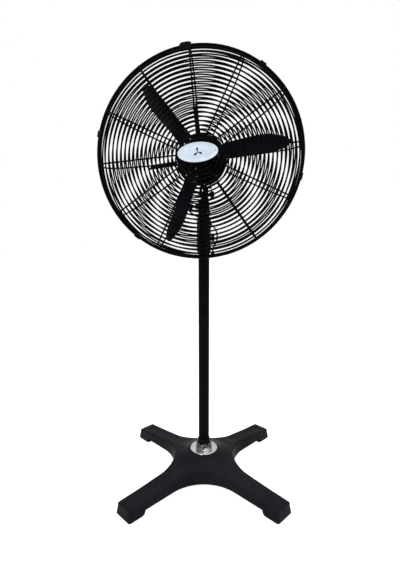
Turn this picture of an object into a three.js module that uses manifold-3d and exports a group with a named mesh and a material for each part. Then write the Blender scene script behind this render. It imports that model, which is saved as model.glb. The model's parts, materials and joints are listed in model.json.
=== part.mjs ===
// A 26 inch (650 mm) oscillating pedestal fan on a weighted cross base.
// Millimetres, +Z up, origin on the floor under the pole, the air blows towards -Y.
import * as THREE from 'three';
import Module from 'manifold-3d';
import { mergeVertices } from 'three/addons/utils/BufferGeometryUtils.js';

const wasm = await Module();
wasm.setup();

// ---------------------------------------------------------------- driving dimensions
const GAP = 0.3;
const SIDES = 20;
const ROUND_SIDES = 24;

// base
const FOOT_REACH = 426.5;
const FOOT_HALF_WIDTH = 44.5;
const FOOT_LENGTH = 67;
const PAD_HEIGHT = 6;
const UNDERSIDE = 23;
const DECK = 105.7;
const BOSS_RADIUS = 67;
const WEB_RADIUS = 171;
const SHELL_WALL = 4;
const PLATE_FACE = 5.5;
const BALLAST_TOP = 44;
const BALLAST_REACH = 260;

// pole
const TUBE_RADIUS = 22.5;
const TUBE_BORE = 20.3;
const TUBE_TOP = 1166;
const TUBE_FOOT = 26.5;
const MAST_RADIUS = 17.5;
const MAST_BORE = 15.5;
const MAST_FOOT = 760;
const MAST_TOP = 1172;
const LOCK_HEIGHT = 1152;

// head
const TILT_HEIGHT = 1199;
const SHAFT_RISE = 116;
const TILT_REST = THREE.MathUtils.degToRad(2);
const SWIVEL_REST = THREE.MathUtils.degToRad(-5.5);
const GUARD_ROLL = THREE.MathUtils.degToRad(5);
const YOKE_HALF_WIDTH = 18;
const TONGUE_HALF_WIDTH = 12;
const BOLT_RADIUS = 5;
const POST_RADIUS = 8;

// motor, along the shaft
const MOTOR_RADIUS = 88;
const FLANGE_RADIUS = 95;
const MOTOR_FRONT = -92;
const MOTOR_REAR = -22;
const SHAFT_RADIUS = 6;
const SHAFT_FRONT = -192;
const SHAFT_END = 44;

// guards and blades
const RIM_RADIUS = 365;
const RIM_PLANE = -190;
const FRONT_DEPTH = 25;
const REAR_DEPTH = 112;
const RIM_WIRE = 3.5;
const RIM_OFFSET = 4.3;
const RING_WIRE = 2.2;
const SPOKE_WIRE = 3;
const SPOKES = 12;
const HUB_RADIUS = 80;
const HUB_PLANE = -150;
const BLADE_TIP = 325;
const BLADE_PLANE = -154.6;
const BLADE_THICKNESS = 2.6;
const BLADE_REST = THREE.MathUtils.degToRad(10.7);
const BADGE_LENGTH = 145;
const BADGE_HEIGHT = 71;

// oscillation linkage, measured from the swivel axis
const CRANK_X = 12;
const CRANK_Y = 36;
const CRANK_THROW = 17;
const CRANK_RATIO = -1.8;
const EAR_RADIUS = 26;

// control box
const BOX_HALF_WIDTH = 29;
const BOX_LOW = 952;
const BOX_HIGH = 1118;
const BOX_FRONT = 30;
const BOX_BACK = 72;
const BOX_MIDDLE = (BOX_FRONT + BOX_BACK) / 2;
const KNOB_HEIGHT = 1026;
const KNOB_RADIUS = 19;
const LEAD_RADIUS = 3.25;

// ---------------------------------------------------------------- materials
function finish(color, roughness, metalness) {
  return new THREE.MeshStandardMaterial({ color, roughness, metalness });
}
const BLACK_PLASTIC = finish(0x14141a, 0.45, 0);
const BLACK_PAINT = finish(0x101016, 0.35, 0.2);
const RUBBER = finish(0x0c0c0d, 0.9, 0);
const CHROME = finish(0xc9ccd2, 0.18, 1);
const STEEL = finish(0x9a9ca0, 0.35, 1);
const CAST_IRON = finish(0x2a2a2c, 0.8, 0.5);
const COPPER = finish(0x9a5a33, 0.5, 0.6);
const ALUMINIUM = finish(0x8e9095, 0.45, 0.9);
const WHITE = finish(0xe9ebf0, 0.3, 0);
const NYLON = finish(0xd8d6cc, 0.5, 0);

// ---------------------------------------------------------------- shape helpers
function placed(geometry, x, y, z, turnX = 0, turnY = 0, turnZ = 0) {
  const turn = new THREE.Euler(turnX, turnY, turnZ);
  const matrix = new THREE.Matrix4().makeRotationFromEuler(turn);
  return geometry.applyMatrix4(matrix.setPosition(x, y, z));
}

function box(x0, x1, y0, y1, z0, z1) {
  const geometry = new THREE.BoxGeometry(x1 - x0, y1 - y0, z1 - z0);
  return placed(geometry, (x0 + x1) / 2, (y0 + y1) / 2, (z0 + z1) / 2);
}

// a cylinder between two heights on a vertical axis
function upright(radius, z0, z1, x = 0, y = 0, sides = SIDES) {
  const geometry = new THREE.CylinderGeometry(radius, radius, z1 - z0, sides);
  return placed(geometry, x, y, (z0 + z1) / 2, Math.PI / 2);
}

// a cylinder along X or along Y
function crosswise(radius, x0, x1, y, z, sides = SIDES) {
  const geometry = new THREE.CylinderGeometry(radius, radius, x1 - x0, sides);
  return placed(geometry, (x0 + x1) / 2, y, z, 0, 0, Math.PI / 2);
}
function lengthwise(radius, y0, y1, x = 0, z = 0, sides = SIDES) {
  const geometry = new THREE.CylinderGeometry(radius, radius, y1 - y0, sides);
  return placed(geometry, x, (y0 + y1) / 2, z);
}

// a profile of [radius, height] points turned about Y, or about Z
function turnedY(profile, sides = SIDES) {
  const points = profile.map(([r, h]) => new THREE.Vector2(r, h));
  return new THREE.LatheGeometry(points, sides);
}
function turnedZ(profile, sides = SIDES) {
  return turnedY(profile, sides).rotateX(Math.PI / 2);
}
function ring(inner, outer, low, high) {
  return [[inner, low], [outer, low], [outer, high], [inner, high], [inner, low]];
}

// a flat outline of [x, y] points pushed from z = low to z = high
function pushed(outline, low, high) {
  const shape = new THREE.Shape(outline.map(([x, y]) => new THREE.Vector2(x, y)));
  const geometry = new THREE.ExtrudeGeometry(shape, { depth: high - low, bevelEnabled: false });
  return geometry.translate(0, 0, low);
}

// a round or square section swept along a smooth curve through the points
function swept(points, radius, sides, steps) {
  const curve = new THREE.CatmullRomCurve3(points.map((p) => new THREE.Vector3(...p)));
  const section = new THREE.Shape();
  for (let i = 0; i < sides; i++) {
    const turn = (i / sides) * 2 * Math.PI;
    const corner = [radius * Math.cos(turn), radius * Math.sin(turn)];
    if (i === 0) section.moveTo(...corner);
    else section.lineTo(...corner);
  }
  section.closePath();
  return new THREE.ExtrudeGeometry(section, { extrudePath: curve, steps, bevelEnabled: false });
}

// a closed skin over sections that all have the same number of corners
function lofted(sections) {
  const count = sections[0].length;
  const corners = sections.flat();
  const faces = [];
  for (let s = 0; s + 1 < sections.length; s++) {
    for (let i = 0; i < count; i++) {
      const a = s * count + i;
      const b = s * count + ((i + 1) % count);
      faces.push(a, b, b + count, a, b + count, a + count);
    }
  }
  const last = (sections.length - 1) * count;
  for (let i = 1; i + 1 < count; i++) {
    faces.push(0, i + 1, i);
    faces.push(last, last + i, last + i + 1);
  }
  const geometry = new THREE.BufferGeometry();
  geometry.setAttribute('position', new THREE.Float32BufferAttribute(corners.flat(), 3));
  geometry.setIndex(faces);
  return geometry;
}

// three.js geometry to a manifold solid, and back
function solid(geometry) {
  const bare = geometry.clone();
  for (const name of Object.keys(bare.attributes)) {
    if (name !== 'position') bare.deleteAttribute(name);
  }
  const merged = mergeVertices(bare, 1e-3);
  const index = merged.index.array;
  const faces = [];
  for (let i = 0; i < index.length; i += 3) {
    const [a, b, c] = [index[i], index[i + 1], index[i + 2]];
    if (a !== b && b !== c && c !== a) faces.push(a, b, c);
  }
  const vertProperties = new Float32Array(merged.attributes.position.array);
  const build = (tris) => new wasm.Manifold(
    new wasm.Mesh({ numProp: 3, vertProperties, triVerts: new Uint32Array(tris) }));
  const body = build(faces);
  if (body.volume() > 0) return body;
  const flipped = [];
  for (let i = 0; i < faces.length; i += 3) flipped.push(faces[i], faces[i + 2], faces[i + 1]);
  return build(flipped);
}

function joined(...pieces) {
  return pieces.map(asSolid).reduce((whole, piece) => whole.add(piece));
}
function cut(from, ...tools) {
  return tools.map(asSolid).reduce((left, tool) => left.subtract(tool), asSolid(from));
}
function common(a, b) {
  return asSolid(a).intersect(asSolid(b));
}
function asSolid(piece) {
  return piece.isBufferGeometry ? solid(piece) : piece;
}

function geometryOf(body) {
  const mesh = body.getMesh();
  const geometry = new THREE.BufferGeometry();
  const corners = new Float32Array((mesh.vertProperties.length / mesh.numProp) * 3);
  for (let i = 0; i < corners.length / 3; i++) {
    for (let k = 0; k < 3; k++) corners[3 * i + k] = mesh.vertProperties[mesh.numProp * i + k];
  }
  geometry.setAttribute('position', new THREE.BufferAttribute(corners, 3));
  geometry.setIndex(new THREE.BufferAttribute(new Uint32Array(mesh.triVerts), 1));
  geometry.computeVertexNormals();
  return geometry;
}

function add(group, name, piece, material) {
  const mesh = new THREE.Mesh(geometryOf(asSolid(piece)), material);
  mesh.name = name;
  group.add(mesh);
}

// ---------------------------------------------------------------- base
// A cross of four legs on the diagonals, with round webs between them.
function crossOutline(halfWidth, reach, steps = 5) {
  const outline = [];
  const web = WEB_RADIUS + FOOT_HALF_WIDTH - halfWidth;
  for (let leg = 0; leg < 4; leg++) {
    const turn = Math.PI / 4 + (leg * Math.PI) / 2;
    const local = [[reach, -halfWidth], [reach, halfWidth]];
    for (let i = 0; i <= steps; i++) {
      const t = -Math.PI / 2 - (i / steps) * (Math.PI / 2);
      const centre = halfWidth + web;
      local.push([centre + web * Math.cos(t), centre + web * Math.sin(t)]);
    }
    for (const [u, v] of local) {
      const x = u * Math.cos(turn) - v * Math.sin(turn);
      const y = u * Math.sin(turn) + v * Math.cos(turn);
      outline.push([x, y]);
    }
  }
  return outline;
}

// The cross with drafted sides: narrower by the draft at every height above the floor.
const DRAFT = 0.1;
const TIP_DRAFT = 0.12;
function draftedCross(low, high, inset) {
  const levels = [low, high].map((z) =>
    crossOutline(FOOT_HALF_WIDTH - inset - z * DRAFT, FOOT_REACH - inset - z * TIP_DRAFT)
      .map(([x, y]) => [x, y, z]));
  const count = levels[0].length;
  const flat = levels[0].map(([x, y]) => new THREE.Vector2(x, y));
  const cap = THREE.ShapeUtils.triangulateShape(flat, []);
  const faces = [];
  for (let i = 0; i < count; i++) {
    const j = (i + 1) % count;
    faces.push(i, j, j + count, i, j + count, i + count);
  }
  for (const [a, b, c] of cap) {
    faces.push(a, c, b);
    faces.push(a + count, b + count, c + count);
  }
  const geometry = new THREE.BufferGeometry();
  geometry.setAttribute('position',
    new THREE.Float32BufferAttribute(levels.flat(2), 3));
  geometry.setIndex(faces);
  return geometry;
}

// Everything under the domed deck, lowered by a wall thickness.
function underDeck(drop) {
  const slope = [[BOSS_RADIUS, DECK], [BOSS_RADIUS + 3, 99], [123, 81], [200, 68], [320, 56], [450, 47]];
  const profile = [[0, -20], [450, -20]];
  for (const [r, z] of [...slope].reverse()) profile.push([r, z - drop]);
  profile.push([0, DECK - drop]);
  return turnedZ(profile, 36);
}

// the space under the legs, inwards of the feet
function arch() {
  const half = FOOT_REACH - FOOT_LENGTH;
  const block = new THREE.BoxGeometry(2 * half, 2 * half, UNDERSIDE + 40);
  return placed(block, 0, 0, (UNDERSIDE - 40) / 2, 0, 0, Math.PI / 4);
}

function addBase(stand) {
  const outside = common(draftedCross(PAD_HEIGHT + GAP, 112, 0), underDeck(0));
  const inside = common(draftedCross(-10, 112, SHELL_WALL), underDeck(SHELL_WALL));
  const poleHole = upright(TUBE_RADIUS + GAP, -30, 130);
  add(stand, 'base_shell', cut(outside, arch(), inside, poleHole), BLACK_PLASTIC);

  const core = draftedCross(UNDERSIDE + 3, BALLAST_TOP, SHELL_WALL + 1);
  const reach = upright(BALLAST_REACH, 0, 120, 0, 0, 36);
  const bore = upright(TUBE_RADIUS + GAP, 0, 120);
  add(stand, 'ballast', cut(common(core, reach), bore), CAST_IRON);

  const dish = [[0, PLATE_FACE], [60, PLATE_FACE], [76, 22.7], [105, 22.7], [105, 25.7], [74, 25.7],
    [58, PLATE_FACE + 3], [0, PLATE_FACE + 3]];
  add(stand, 'base_plate', turnedZ(dish), BLACK_PAINT);

  for (let leg = 0; leg < 4; leg++) {
    const turn = Math.PI / 4 + (leg * Math.PI) / 2;
    const pad = box(-FOOT_LENGTH / 2, FOOT_LENGTH / 2, -40, 40, 0, PAD_HEIGHT);
    const plug = box(-24, 24, -30, 30, PAD_HEIGHT - 1, PAD_HEIGHT + 10);
    const middle = FOOT_REACH - FOOT_LENGTH / 2 - 4;
    const whole = joined(pad, plug);
    const geometry = geometryOf(whole);
    placed(geometry, middle * Math.cos(turn), middle * Math.sin(turn), 0, 0, 0, turn);
    add(stand, `foot_pad_${leg + 1}`, geometry, RUBBER);
  }
}

// ---------------------------------------------------------------- pole fittings
function hexagon(acrossFlats) {
  const radius = acrossFlats / Math.sqrt(3);
  return Array.from({ length: 6 }, (_, i) => {
    const turn = ((i + 0.5) * Math.PI) / 3;
    return [radius * Math.cos(turn), radius * Math.sin(turn)];
  });
}

function addPole(stand) {
  const hole = TUBE_RADIUS + GAP;
  const discTop = 110;
  const nutTop = 124;
  const ringTop = 138;
  const collarTop = 156;
  const disc = [[hole, DECK + GAP], [58.5, DECK + GAP], [58.5, discTop - 1.5], [57, discTop],
    [hole, discTop], [hole, DECK + GAP]];
  add(stand, 'flange_disc', turnedZ(disc, ROUND_SIDES), CHROME);

  const nut = pushed(hexagon(69), discTop + GAP, nutTop);
  add(stand, 'base_nut', cut(nut, upright(hole, 100, 130)), CHROME);

  let castle = solid(turnedZ(ring(hole, 31, nutTop + GAP, ringTop)));
  for (let notch = 0; notch < 3; notch++) {
    const slot = box(-40, 40, -3.5, 3.5, ringTop - 6, ringTop + 4);
    castle = cut(castle, slot.rotateZ((notch * Math.PI) / 3));
  }
  add(stand, 'castle_ring', castle, CHROME);

  const collar = [[hole, ringTop + GAP], [27, ringTop + GAP], [27, collarTop - 2], [25, collarTop],
    [hole, collarTop], [hole, ringTop + GAP]];
  add(stand, 'pole_collar', turnedZ(collar), BLACK_PLASTIC);

  // the outer tube with the welded boss of the height lock on its left
  const bossEnd = -34;
  const tube = joined(upright(TUBE_RADIUS, TUBE_FOOT, TUBE_TOP), crosswise(11, bossEnd, -10, 0, LOCK_HEIGHT, 16));
  const bore = upright(TUBE_BORE, 0, 1200);
  const thread = crosswise(4.4, -60, 0, 0, LOCK_HEIGHT, 12);
  add(stand, 'outer_tube', cut(tube, bore, thread), BLACK_PAINT);

  const bush = [[MAST_RADIUS + GAP, 1122], [TUBE_BORE - GAP, 1122], [TUBE_BORE - GAP, TUBE_TOP + GAP],
    [TUBE_RADIUS, TUBE_TOP + GAP], [TUBE_RADIUS, TUBE_TOP + 3], [MAST_RADIUS + GAP, TUBE_TOP + 3],
    [MAST_RADIUS + GAP, 1122]];
  const way = crosswise(4.4, -60, 0, 0, LOCK_HEIGHT, 12);
  add(stand, 'tube_bush', cut(turnedZ(bush), way), NYLON);
}

// a hand knob with rounded lobes, along X from x0 to x1
function lobedKnob(lobes, radius, lobe, x0, x1) {
  const outline = [];
  const steps = lobes * 4;
  for (let i = 0; i < steps; i++) {
    const turn = (i / steps) * 2 * Math.PI;
    const r = radius + lobe * Math.cos(lobes * turn);
    outline.push([r * Math.cos(turn), r * Math.sin(turn)]);
  }
  return pushed(outline, x0, x1).rotateY(Math.PI / 2);
}

function addHeightLock(group) {
  const bolt = crosswise(4, -45, -MAST_RADIUS - GAP, 0, 0, 12);
  const grip = lobedKnob(3, 12, 3, -60, -44);
  const whole = geometryOf(joined(bolt, grip));
  add(group, 'height_lock_knob', whole.translate(0, 0, LOCK_HEIGHT), BLACK_PLASTIC);
}

// ---------------------------------------------------------------- mast and neck
function addMast(mast) {
  const tube = ring(MAST_BORE, MAST_RADIUS, MAST_FOOT, MAST_TOP);
  add(mast, 'inner_tube', turnedZ(tube), CHROME);

  // the neck casting: a plug in the tube, a flange on it and the tongue of the tilt hinge
  const flangeTop = MAST_TOP + 8;
  const plug = upright(MAST_BORE - GAP, MAST_TOP - 40, MAST_TOP + 4);
  const flange = upright(24, MAST_TOP + GAP, flangeTop);
  const tongue = box(-TONGUE_HALF_WIDTH, TONGUE_HALF_WIDTH, -13, 13, flangeTop - 1, TILT_HEIGHT);
  const eye = crosswise(13, -TONGUE_HALF_WIDTH, TONGUE_HALF_WIDTH, 0, TILT_HEIGHT);
  const hole = crosswise(BOLT_RADIUS + GAP, -40, 40, 0, TILT_HEIGHT, 16);
  add(mast, 'neck_socket', cut(joined(plug, flange, tongue, eye), hole), BLACK_PAINT);

  const shank = crosswise(BOLT_RADIUS, -YOKE_HALF_WIDTH - 3, 34, 0, TILT_HEIGHT, 16);
  const head = pushed(hexagon(15), -YOKE_HALF_WIDTH - 6, -YOKE_HALF_WIDTH - GAP).rotateY(Math.PI / 2);
  add(mast, 'tilt_bolt', joined(shank, head.translate(0, 0, TILT_HEIGHT)), STEEL);
}

function addTiltKnob(group) {
  const grip = lobedKnob(5, 13, 2, YOKE_HALF_WIDTH + 9, 42);
  const boss = crosswise(9, YOKE_HALF_WIDTH + 3, YOKE_HALF_WIDTH + 10, 0, 0);
  const knob = geometryOf(joined(grip, boss)).translate(0, 0, TILT_HEIGHT);
  const thread = crosswise(BOLT_RADIUS + GAP, 0, 36, 0, TILT_HEIGHT, 16);
  add(group, 'tilt_knob', cut(knob, thread), BLACK_PLASTIC);
}

// ---------------------------------------------------------------- control box
function roundedBox(halfWidth, low, high, corner, y0, y1) {
  const outline = [];
  const steps = 4;
  const spots = [[1, 1, 0], [-1, 1, 1], [-1, -1, 2], [1, -1, 3]];
  for (const [sideX, sideZ, quarter] of spots) {
    for (let i = 0; i <= steps; i++) {
      const turn = ((quarter + i / steps) * Math.PI) / 2;
      const x = sideX * (halfWidth - corner) + corner * Math.cos(turn);
      const middle = (low + high) / 2;
      const z = middle + sideZ * ((high - low) / 2 - corner) + corner * Math.sin(turn);
      outline.push([x, z]);
    }
  }
  return pushed(outline, -y1, -y0).rotateX(Math.PI / 2);
}

function addControlBox(mast, speed) {
  const wall = 2.5;
  const outer = roundedBox(BOX_HALF_WIDTH, BOX_LOW, BOX_HIGH, 20, BOX_FRONT, BOX_BACK);
  const inner = roundedBox(BOX_HALF_WIDTH - wall, BOX_LOW + wall, BOX_HIGH - wall, 17.5,
    BOX_FRONT + wall, BOX_BACK + 5);
  const spindleHole = crosswise(5.5, 20, 40, BOX_MIDDLE, KNOB_HEIGHT, 16);
  const inletHole = upright(5, BOX_LOW - 5, BOX_LOW + 8, -12, BOX_MIDDLE, 16);
  add(mast, 'box_shell', cut(outer, inner, spindleHole, inletHole), BLACK_PLASTIC);

  const lid = roundedBox(BOX_HALF_WIDTH, BOX_LOW, BOX_HIGH, 20, BOX_BACK + GAP, BOX_BACK + 3);
  const lip = roundedBox(BOX_HALF_WIDTH - wall - GAP, BOX_LOW + wall + GAP, BOX_HIGH - wall - GAP, 17,
    BOX_BACK - 3, BOX_BACK + 1);
  add(mast, 'box_cover', joined(lid, lip), BLACK_PLASTIC);

  // the hanger: a tab under the neck bolt line and a plate down the front of the box
  const plateBack = BOX_FRONT - GAP;
  const plate = box(-14, 14, plateBack - 3, plateBack, 990, 1183.3);
  const tab = box(-14, 14, 13.5, plateBack, MAST_TOP + 8 + GAP, MAST_TOP + 11.3);
  add(mast, 'box_bracket', joined(plate, tab), BLACK_PAINT);

  const switchBody = box(2, 20, BOX_MIDDLE - 14, BOX_MIDDLE + 14, KNOB_HEIGHT - 16, KNOB_HEIGHT + 16);
  const neck = crosswise(5, 19, BOX_HALF_WIDTH + 2, BOX_MIDDLE, KNOB_HEIGHT, 16);
  const bore = crosswise(3.3, 10, 60, BOX_MIDDLE, KNOB_HEIGHT, 12);
  add(mast, 'speed_switch', cut(joined(switchBody, neck), bore), NYLON);

  // the speed knob on the right side, with a pointer ridge
  const knobIn = BOX_HALF_WIDTH + 2.5;
  const knobOut = BOX_HALF_WIDTH + 15;
  const disc = crosswise(KNOB_RADIUS, knobIn, knobOut - 5, BOX_MIDDLE, KNOB_HEIGHT, 32);
  const grip = box(knobOut - 6, knobOut, BOX_MIDDLE - 4, BOX_MIDDLE + 4,
    KNOB_HEIGHT - KNOB_RADIUS + 2, KNOB_HEIGHT + KNOB_RADIUS - 2);
  const stem = crosswise(3, 14, knobIn + 2, BOX_MIDDLE, KNOB_HEIGHT, 12);
  add(speed, 'speed_knob', joined(disc, grip, stem), BLACK_PLASTIC);

  // strain reliefs: an elbow for the motor lead on the right, a straight one for the inlet below
  const elbow = box(BOX_HALF_WIDTH + GAP, 45, BOX_MIDDLE - 8, BOX_MIDDLE + 8, 950, 961);
  const barrel = upright(6.5, 960, 970, 38, BOX_MIDDLE, 16);
  add(mast, 'lead_gland', joined(elbow, barrel), RUBBER);

  const collar = upright(9, BOX_LOW - 4, BOX_LOW - GAP, -12, BOX_MIDDLE, 16);
  const nose = upright(6.5, BOX_LOW - 14, BOX_LOW - 3, -12, BOX_MIDDLE, 16);
  const screwIn = upright(4.6, BOX_LOW - 2, BOX_LOW + 8, -12, BOX_MIDDLE, 16);
  const inlet = cut(joined(collar, nose, screwIn), upright(3.2, 900, BOX_LOW + 4, -12, BOX_MIDDLE, 12));
  add(mast, 'inlet_gland', inlet, RUBBER);
}

// ---------------------------------------------------------------- motor lead
// One lead from the gland on the box to the motor's rear bell, held at both ends. It runs
// round the back of the box and up the left, and is parted at the tilt and swivel joints.
const LEAD_ROUTE = [[38, 51, 970.6], [38, 51, 980], [47, 51, 998], [54.5, 51, 1014], [56, 54, 1034],
  [51, 65, 1056], [36, 81, 1077], [8, 88, 1096], [-24, 83, 1112], [-50, 60, 1127], [-66, 34, 1144],
  [-73, 17, 1168], [-75, 7, 1192], [-75, 0, 1214], [-73, -9, 1232], [-66.3, -26, 1248]];
const LEAD_STRETCHES = [['lead_lower', 0, 0.705, 22], ['lead_middle', 0.709, 0.857, 5],
  ['lead_upper', 0.861, 1, 5]];

function addLead(group) {
  const route = new THREE.CatmullRomCurve3(LEAD_ROUTE.map((point) => new THREE.Vector3(...point)));
  for (const [name, from, to, steps] of LEAD_STRETCHES) {
    const points = [];
    for (let i = 0; i <= steps; i++) {
      points.push(route.getPointAt(from + (i / steps) * (to - from)).toArray());
    }
    add(group, name, swept(points, LEAD_RADIUS, 8, steps), RUBBER);
  }
}

// ---------------------------------------------------------------- tilt bracket
function addYoke(tilt) {
  const cheeks = [-1, 1].map((side) => {
    const inner = TONGUE_HALF_WIDTH + 0.4;
    const x0 = side > 0 ? inner : -YOKE_HALF_WIDTH;
    const x1 = side > 0 ? YOKE_HALF_WIDTH : -inner;
    const plate = box(x0, x1, -13, 13, 0, 28);
    return joined(plate, crosswise(13, x0, x1, 0, 0));
  });
  const bridge = box(-YOKE_HALF_WIDTH, YOKE_HALF_WIDTH, -14, 14, 20, 29);
  const ear = box(YOKE_HALF_WIDTH - 2, EAR_RADIUS + 6, -6, 6, 23, 29);
  const earPin = upright(2.5, 28, SHAFT_RISE - 70, EAR_RADIUS, 0, 12);
  const boltHole = crosswise(BOLT_RADIUS + GAP, -40, 40, 0, 0, 16);
  const postHole = upright(POST_RADIUS + GAP, 10, 40);
  add(tilt, 'yoke', cut(joined(...cheeks, bridge, ear, earPin), boltHole, postHole), BLACK_PAINT);
  add(tilt, 'swivel_post', upright(POST_RADIUS, 20, SHAFT_RISE - 16), STEEL);
}

// ---------------------------------------------------------------- motor
function addMotor(head) {
  const seat = 16.3;
  const frontBell = [[8, -97], [22, -97], [26, MOTOR_FRONT], [FLANGE_RADIUS, MOTOR_FRONT],
    [FLANGE_RADIUS, -87], [MOTOR_RADIUS, -85], [MOTOR_RADIUS, -66], [84, -66], [84, -81], [60, -86],
    [20, -86], [20, -78], [seat, -78], [seat, -91], [8, -91], [8, -97]];
  add(head, 'motor_front_bell', turnedY(frontBell, ROUND_SIDES), BLACK_PAINT);

  const stator = [[56, -62], [62, -74], [78, -74], [82, -65.7], [MOTOR_RADIUS, -65.7],
    [MOTOR_RADIUS, -46.3], [82, -46.3], [78, -38], [62, -38], [56, -50], [56, -62]];
  add(head, 'stator', turnedY(stator, ROUND_SIDES), COPPER);

  const rearBell = [[84, -46], [MOTOR_RADIUS, -46], [MOTOR_RADIUS, -32], [78, MOTOR_REAR],
    [8, MOTOR_REAR], [8, -23.5], [seat, -23.5], [seat, -36], [20, -36], [20, -26], [60, -26],
    [84, -34], [84, -46]];
  add(head, 'motor_rear_bell', turnedY(rearBell, ROUND_SIDES), BLACK_PAINT);

  const race = SHAFT_RADIUS + GAP;
  add(head, 'front_bearing', turnedY(ring(race, 16, -90.7, -79)), STEEL);
  add(head, 'rear_bearing', turnedY(ring(race, 16, -35, -23.8)), STEEL);
}

function addRotor(rotor) {
  const shaft = lengthwise(SHAFT_RADIUS, SHAFT_FRONT, SHAFT_END, 0, 0, 16);
  add(rotor, 'motor_shaft', shaft, STEEL);
  add(rotor, 'rotor_core', turnedY(ring(SHAFT_RADIUS + GAP, 55, -70, -42)), ALUMINIUM);

  const inner = SHAFT_RADIUS + GAP;
  const hub = [[inner, -166], [20, -166], [24, HUB_PLANE - 2], [HUB_RADIUS - 4, HUB_PLANE - 2],
    [HUB_RADIUS, HUB_PLANE], [HUB_RADIUS, HUB_PLANE + 8], [HUB_RADIUS - 3, HUB_PLANE + 8],
    [HUB_RADIUS - 3, HUB_PLANE + 2], [22, HUB_PLANE + 2], [20, -124], [inner, -124], [inner, -166]];
  add(rotor, 'blade_hub', turnedY(hub, ROUND_SIDES), BLACK_PAINT);

  const nut = pushed(hexagon(24), -12, 0).rotateX(Math.PI / 2).translate(0, -178.5, 0);
  const bore = lengthwise(inner, -200, -160, 0, 0, 16);
  add(rotor, 'blade_nut', cut(nut, bore), STEEL);
}

// A paddle blade along +X: flat on the hub disc, then pitched, tapering to a rounded tip
// that leans to its leading edge. Each station is [radius, lead, trail, pitch in degrees].
const BLADE_STATIONS = [[34, 22, 22, 0], [78, 25, 25, 0], [118, 32, 32, 34], [190, 32.5, 32.5, 36],
  [262, 31, 31, 31], [300, 29, 22, 29], [318, 25, 6, 28], [BLADE_TIP, 20, -8, 28]];

function bladeSection([radius, lead, trail, pitch]) {
  const turn = THREE.MathUtils.degToRad(pitch);
  const half = BLADE_THICKNESS / 2;
  const corner = (along, up) => [
    radius,
    BLADE_PLANE - along * Math.sin(turn) - up * Math.cos(turn),
    along * Math.cos(turn) - up * Math.sin(turn),
  ];
  return [corner(-lead, -half), corner(trail, -half), corner(trail, half), corner(-lead, half)];
}

function addBlades(rotor) {
  for (let blade = 0; blade < 3; blade++) {
    const turn = BLADE_REST + (blade * 2 * Math.PI) / 3;
    const geometry = lofted(BLADE_STATIONS.map(bladeSection)).rotateY(-turn);
    add(rotor, `blade_${blade + 1}`, geometry, BLACK_PAINT);
  }
}

// ---------------------------------------------------------------- gearbox and oscillation
const GEARBOX = { half: 32, front: -21.7, back: 58, low: -52, high: 40 };

function addGearbox(head, crank, link, clutch) {
  const { half, front, back, low, high } = GEARBOX;
  const wall = 4;
  const block = box(-half, half, front, back, low, high);
  const socket = upright(12.5, -86.5, low + 2);
  const room = box(-half + wall, half - wall, 16, back + 5, low + wall, high - wall);
  const postHole = upright(POST_RADIUS + GAP, -100, -15);
  const shaftHole = lengthwise(7.5, front - 5, 20, 0, 0, 16);
  const crankHole = upright(4.4, low - 5, low + 8, CRANK_X, CRANK_Y, 12);
  const clutchHole = upright(4.4, high - 8, high + 5, 22, CRANK_Y, 12);
  const casing = cut(joined(block, socket), room, postHole, shaftHole, crankHole, clutchHole);
  add(head, 'gearbox_case', casing, BLACK_PAINT);

  const cover = box(-half, half, back + GAP, back + 4, low, high);
  const bump = lengthwise(20, back + 3, back + 8, 0, 0);
  add(head, 'gearbox_cover', joined(cover, bump), BLACK_PAINT);

  // the crank turns on the gear's shaft, its pin carries the link
  const phase = CRANK_RATIO * SWIVEL_REST;
  const pin = [CRANK_X + CRANK_THROW * Math.cos(phase), CRANK_Y + CRANK_THROW * Math.sin(phase)];
  const gearLow = -44;
  const wheel = upright(12, gearLow, gearLow + 8, CRANK_X, CRANK_Y);
  const spindle = upright(4, -57.7, gearLow + 14, CRANK_X, CRANK_Y, 12);
  add(crank, 'oscillation_gear', joined(wheel, spindle), NYLON);

  const arm = box(0, CRANK_THROW, -6, 6, -63, -58);
  const round = upright(6, -63, -58, CRANK_THROW, 0, 16);
  const hub = upright(8, -63, -58, 0, 0, 16);
  const crankPin = upright(2.5, -71, -62, CRANK_THROW, 0, 12);
  const whole = geometryOf(joined(arm, round, hub, crankPin));
  add(crank, 'crank', placed(whole, CRANK_X, CRANK_Y, 0, 0, 0, phase), STEEL);

  const far = [EAR_RADIUS * Math.cos(-SWIVEL_REST), EAR_RADIUS * Math.sin(-SWIVEL_REST)];
  const length = Math.hypot(far[0] - pin[0], far[1] - pin[1]);
  const heading = Math.atan2(far[1] - pin[1], far[0] - pin[0]);
  const bar = box(0, length, -4, 4, -68.5, -65);
  const ends = [0, length].map((x) => upright(6, -68.5, -65, x, 0, 16));
  const eye = upright(2.5 + GAP, -75, -60, 0, 0, 12);
  const rod = geometryOf(cut(joined(bar, ...ends), eye));
  add(link, 'link', placed(rod, pin[0], pin[1], 0, 0, 0, heading), STEEL);

  // the clutch knob on the gearbox top: pulled up, it stops the oscillation
  const stem = upright(3.5, -6, 52, 22, CRANK_Y, 12);
  const cap = upright(10, high + 10, high + 28, 22, CRANK_Y, 20);
  add(clutch, 'clutch_knob', joined(stem, cap), BLACK_PLASTIC);
}

// ---------------------------------------------------------------- guards
function frontSkin(radius) {
  const bulge = (1 - (radius / RIM_RADIUS) ** 4) ** (1 / 4);
  return RIM_PLANE - RIM_OFFSET - (FRONT_DEPTH - RIM_OFFSET) * bulge;
}
function rearSkin(radius) {
  const bulge = (1 - (radius / RIM_RADIUS) ** 3.5) ** (1 / 3.5);
  return RIM_PLANE + RIM_OFFSET + (REAR_DEPTH - RIM_OFFSET) * bulge;
}

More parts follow.
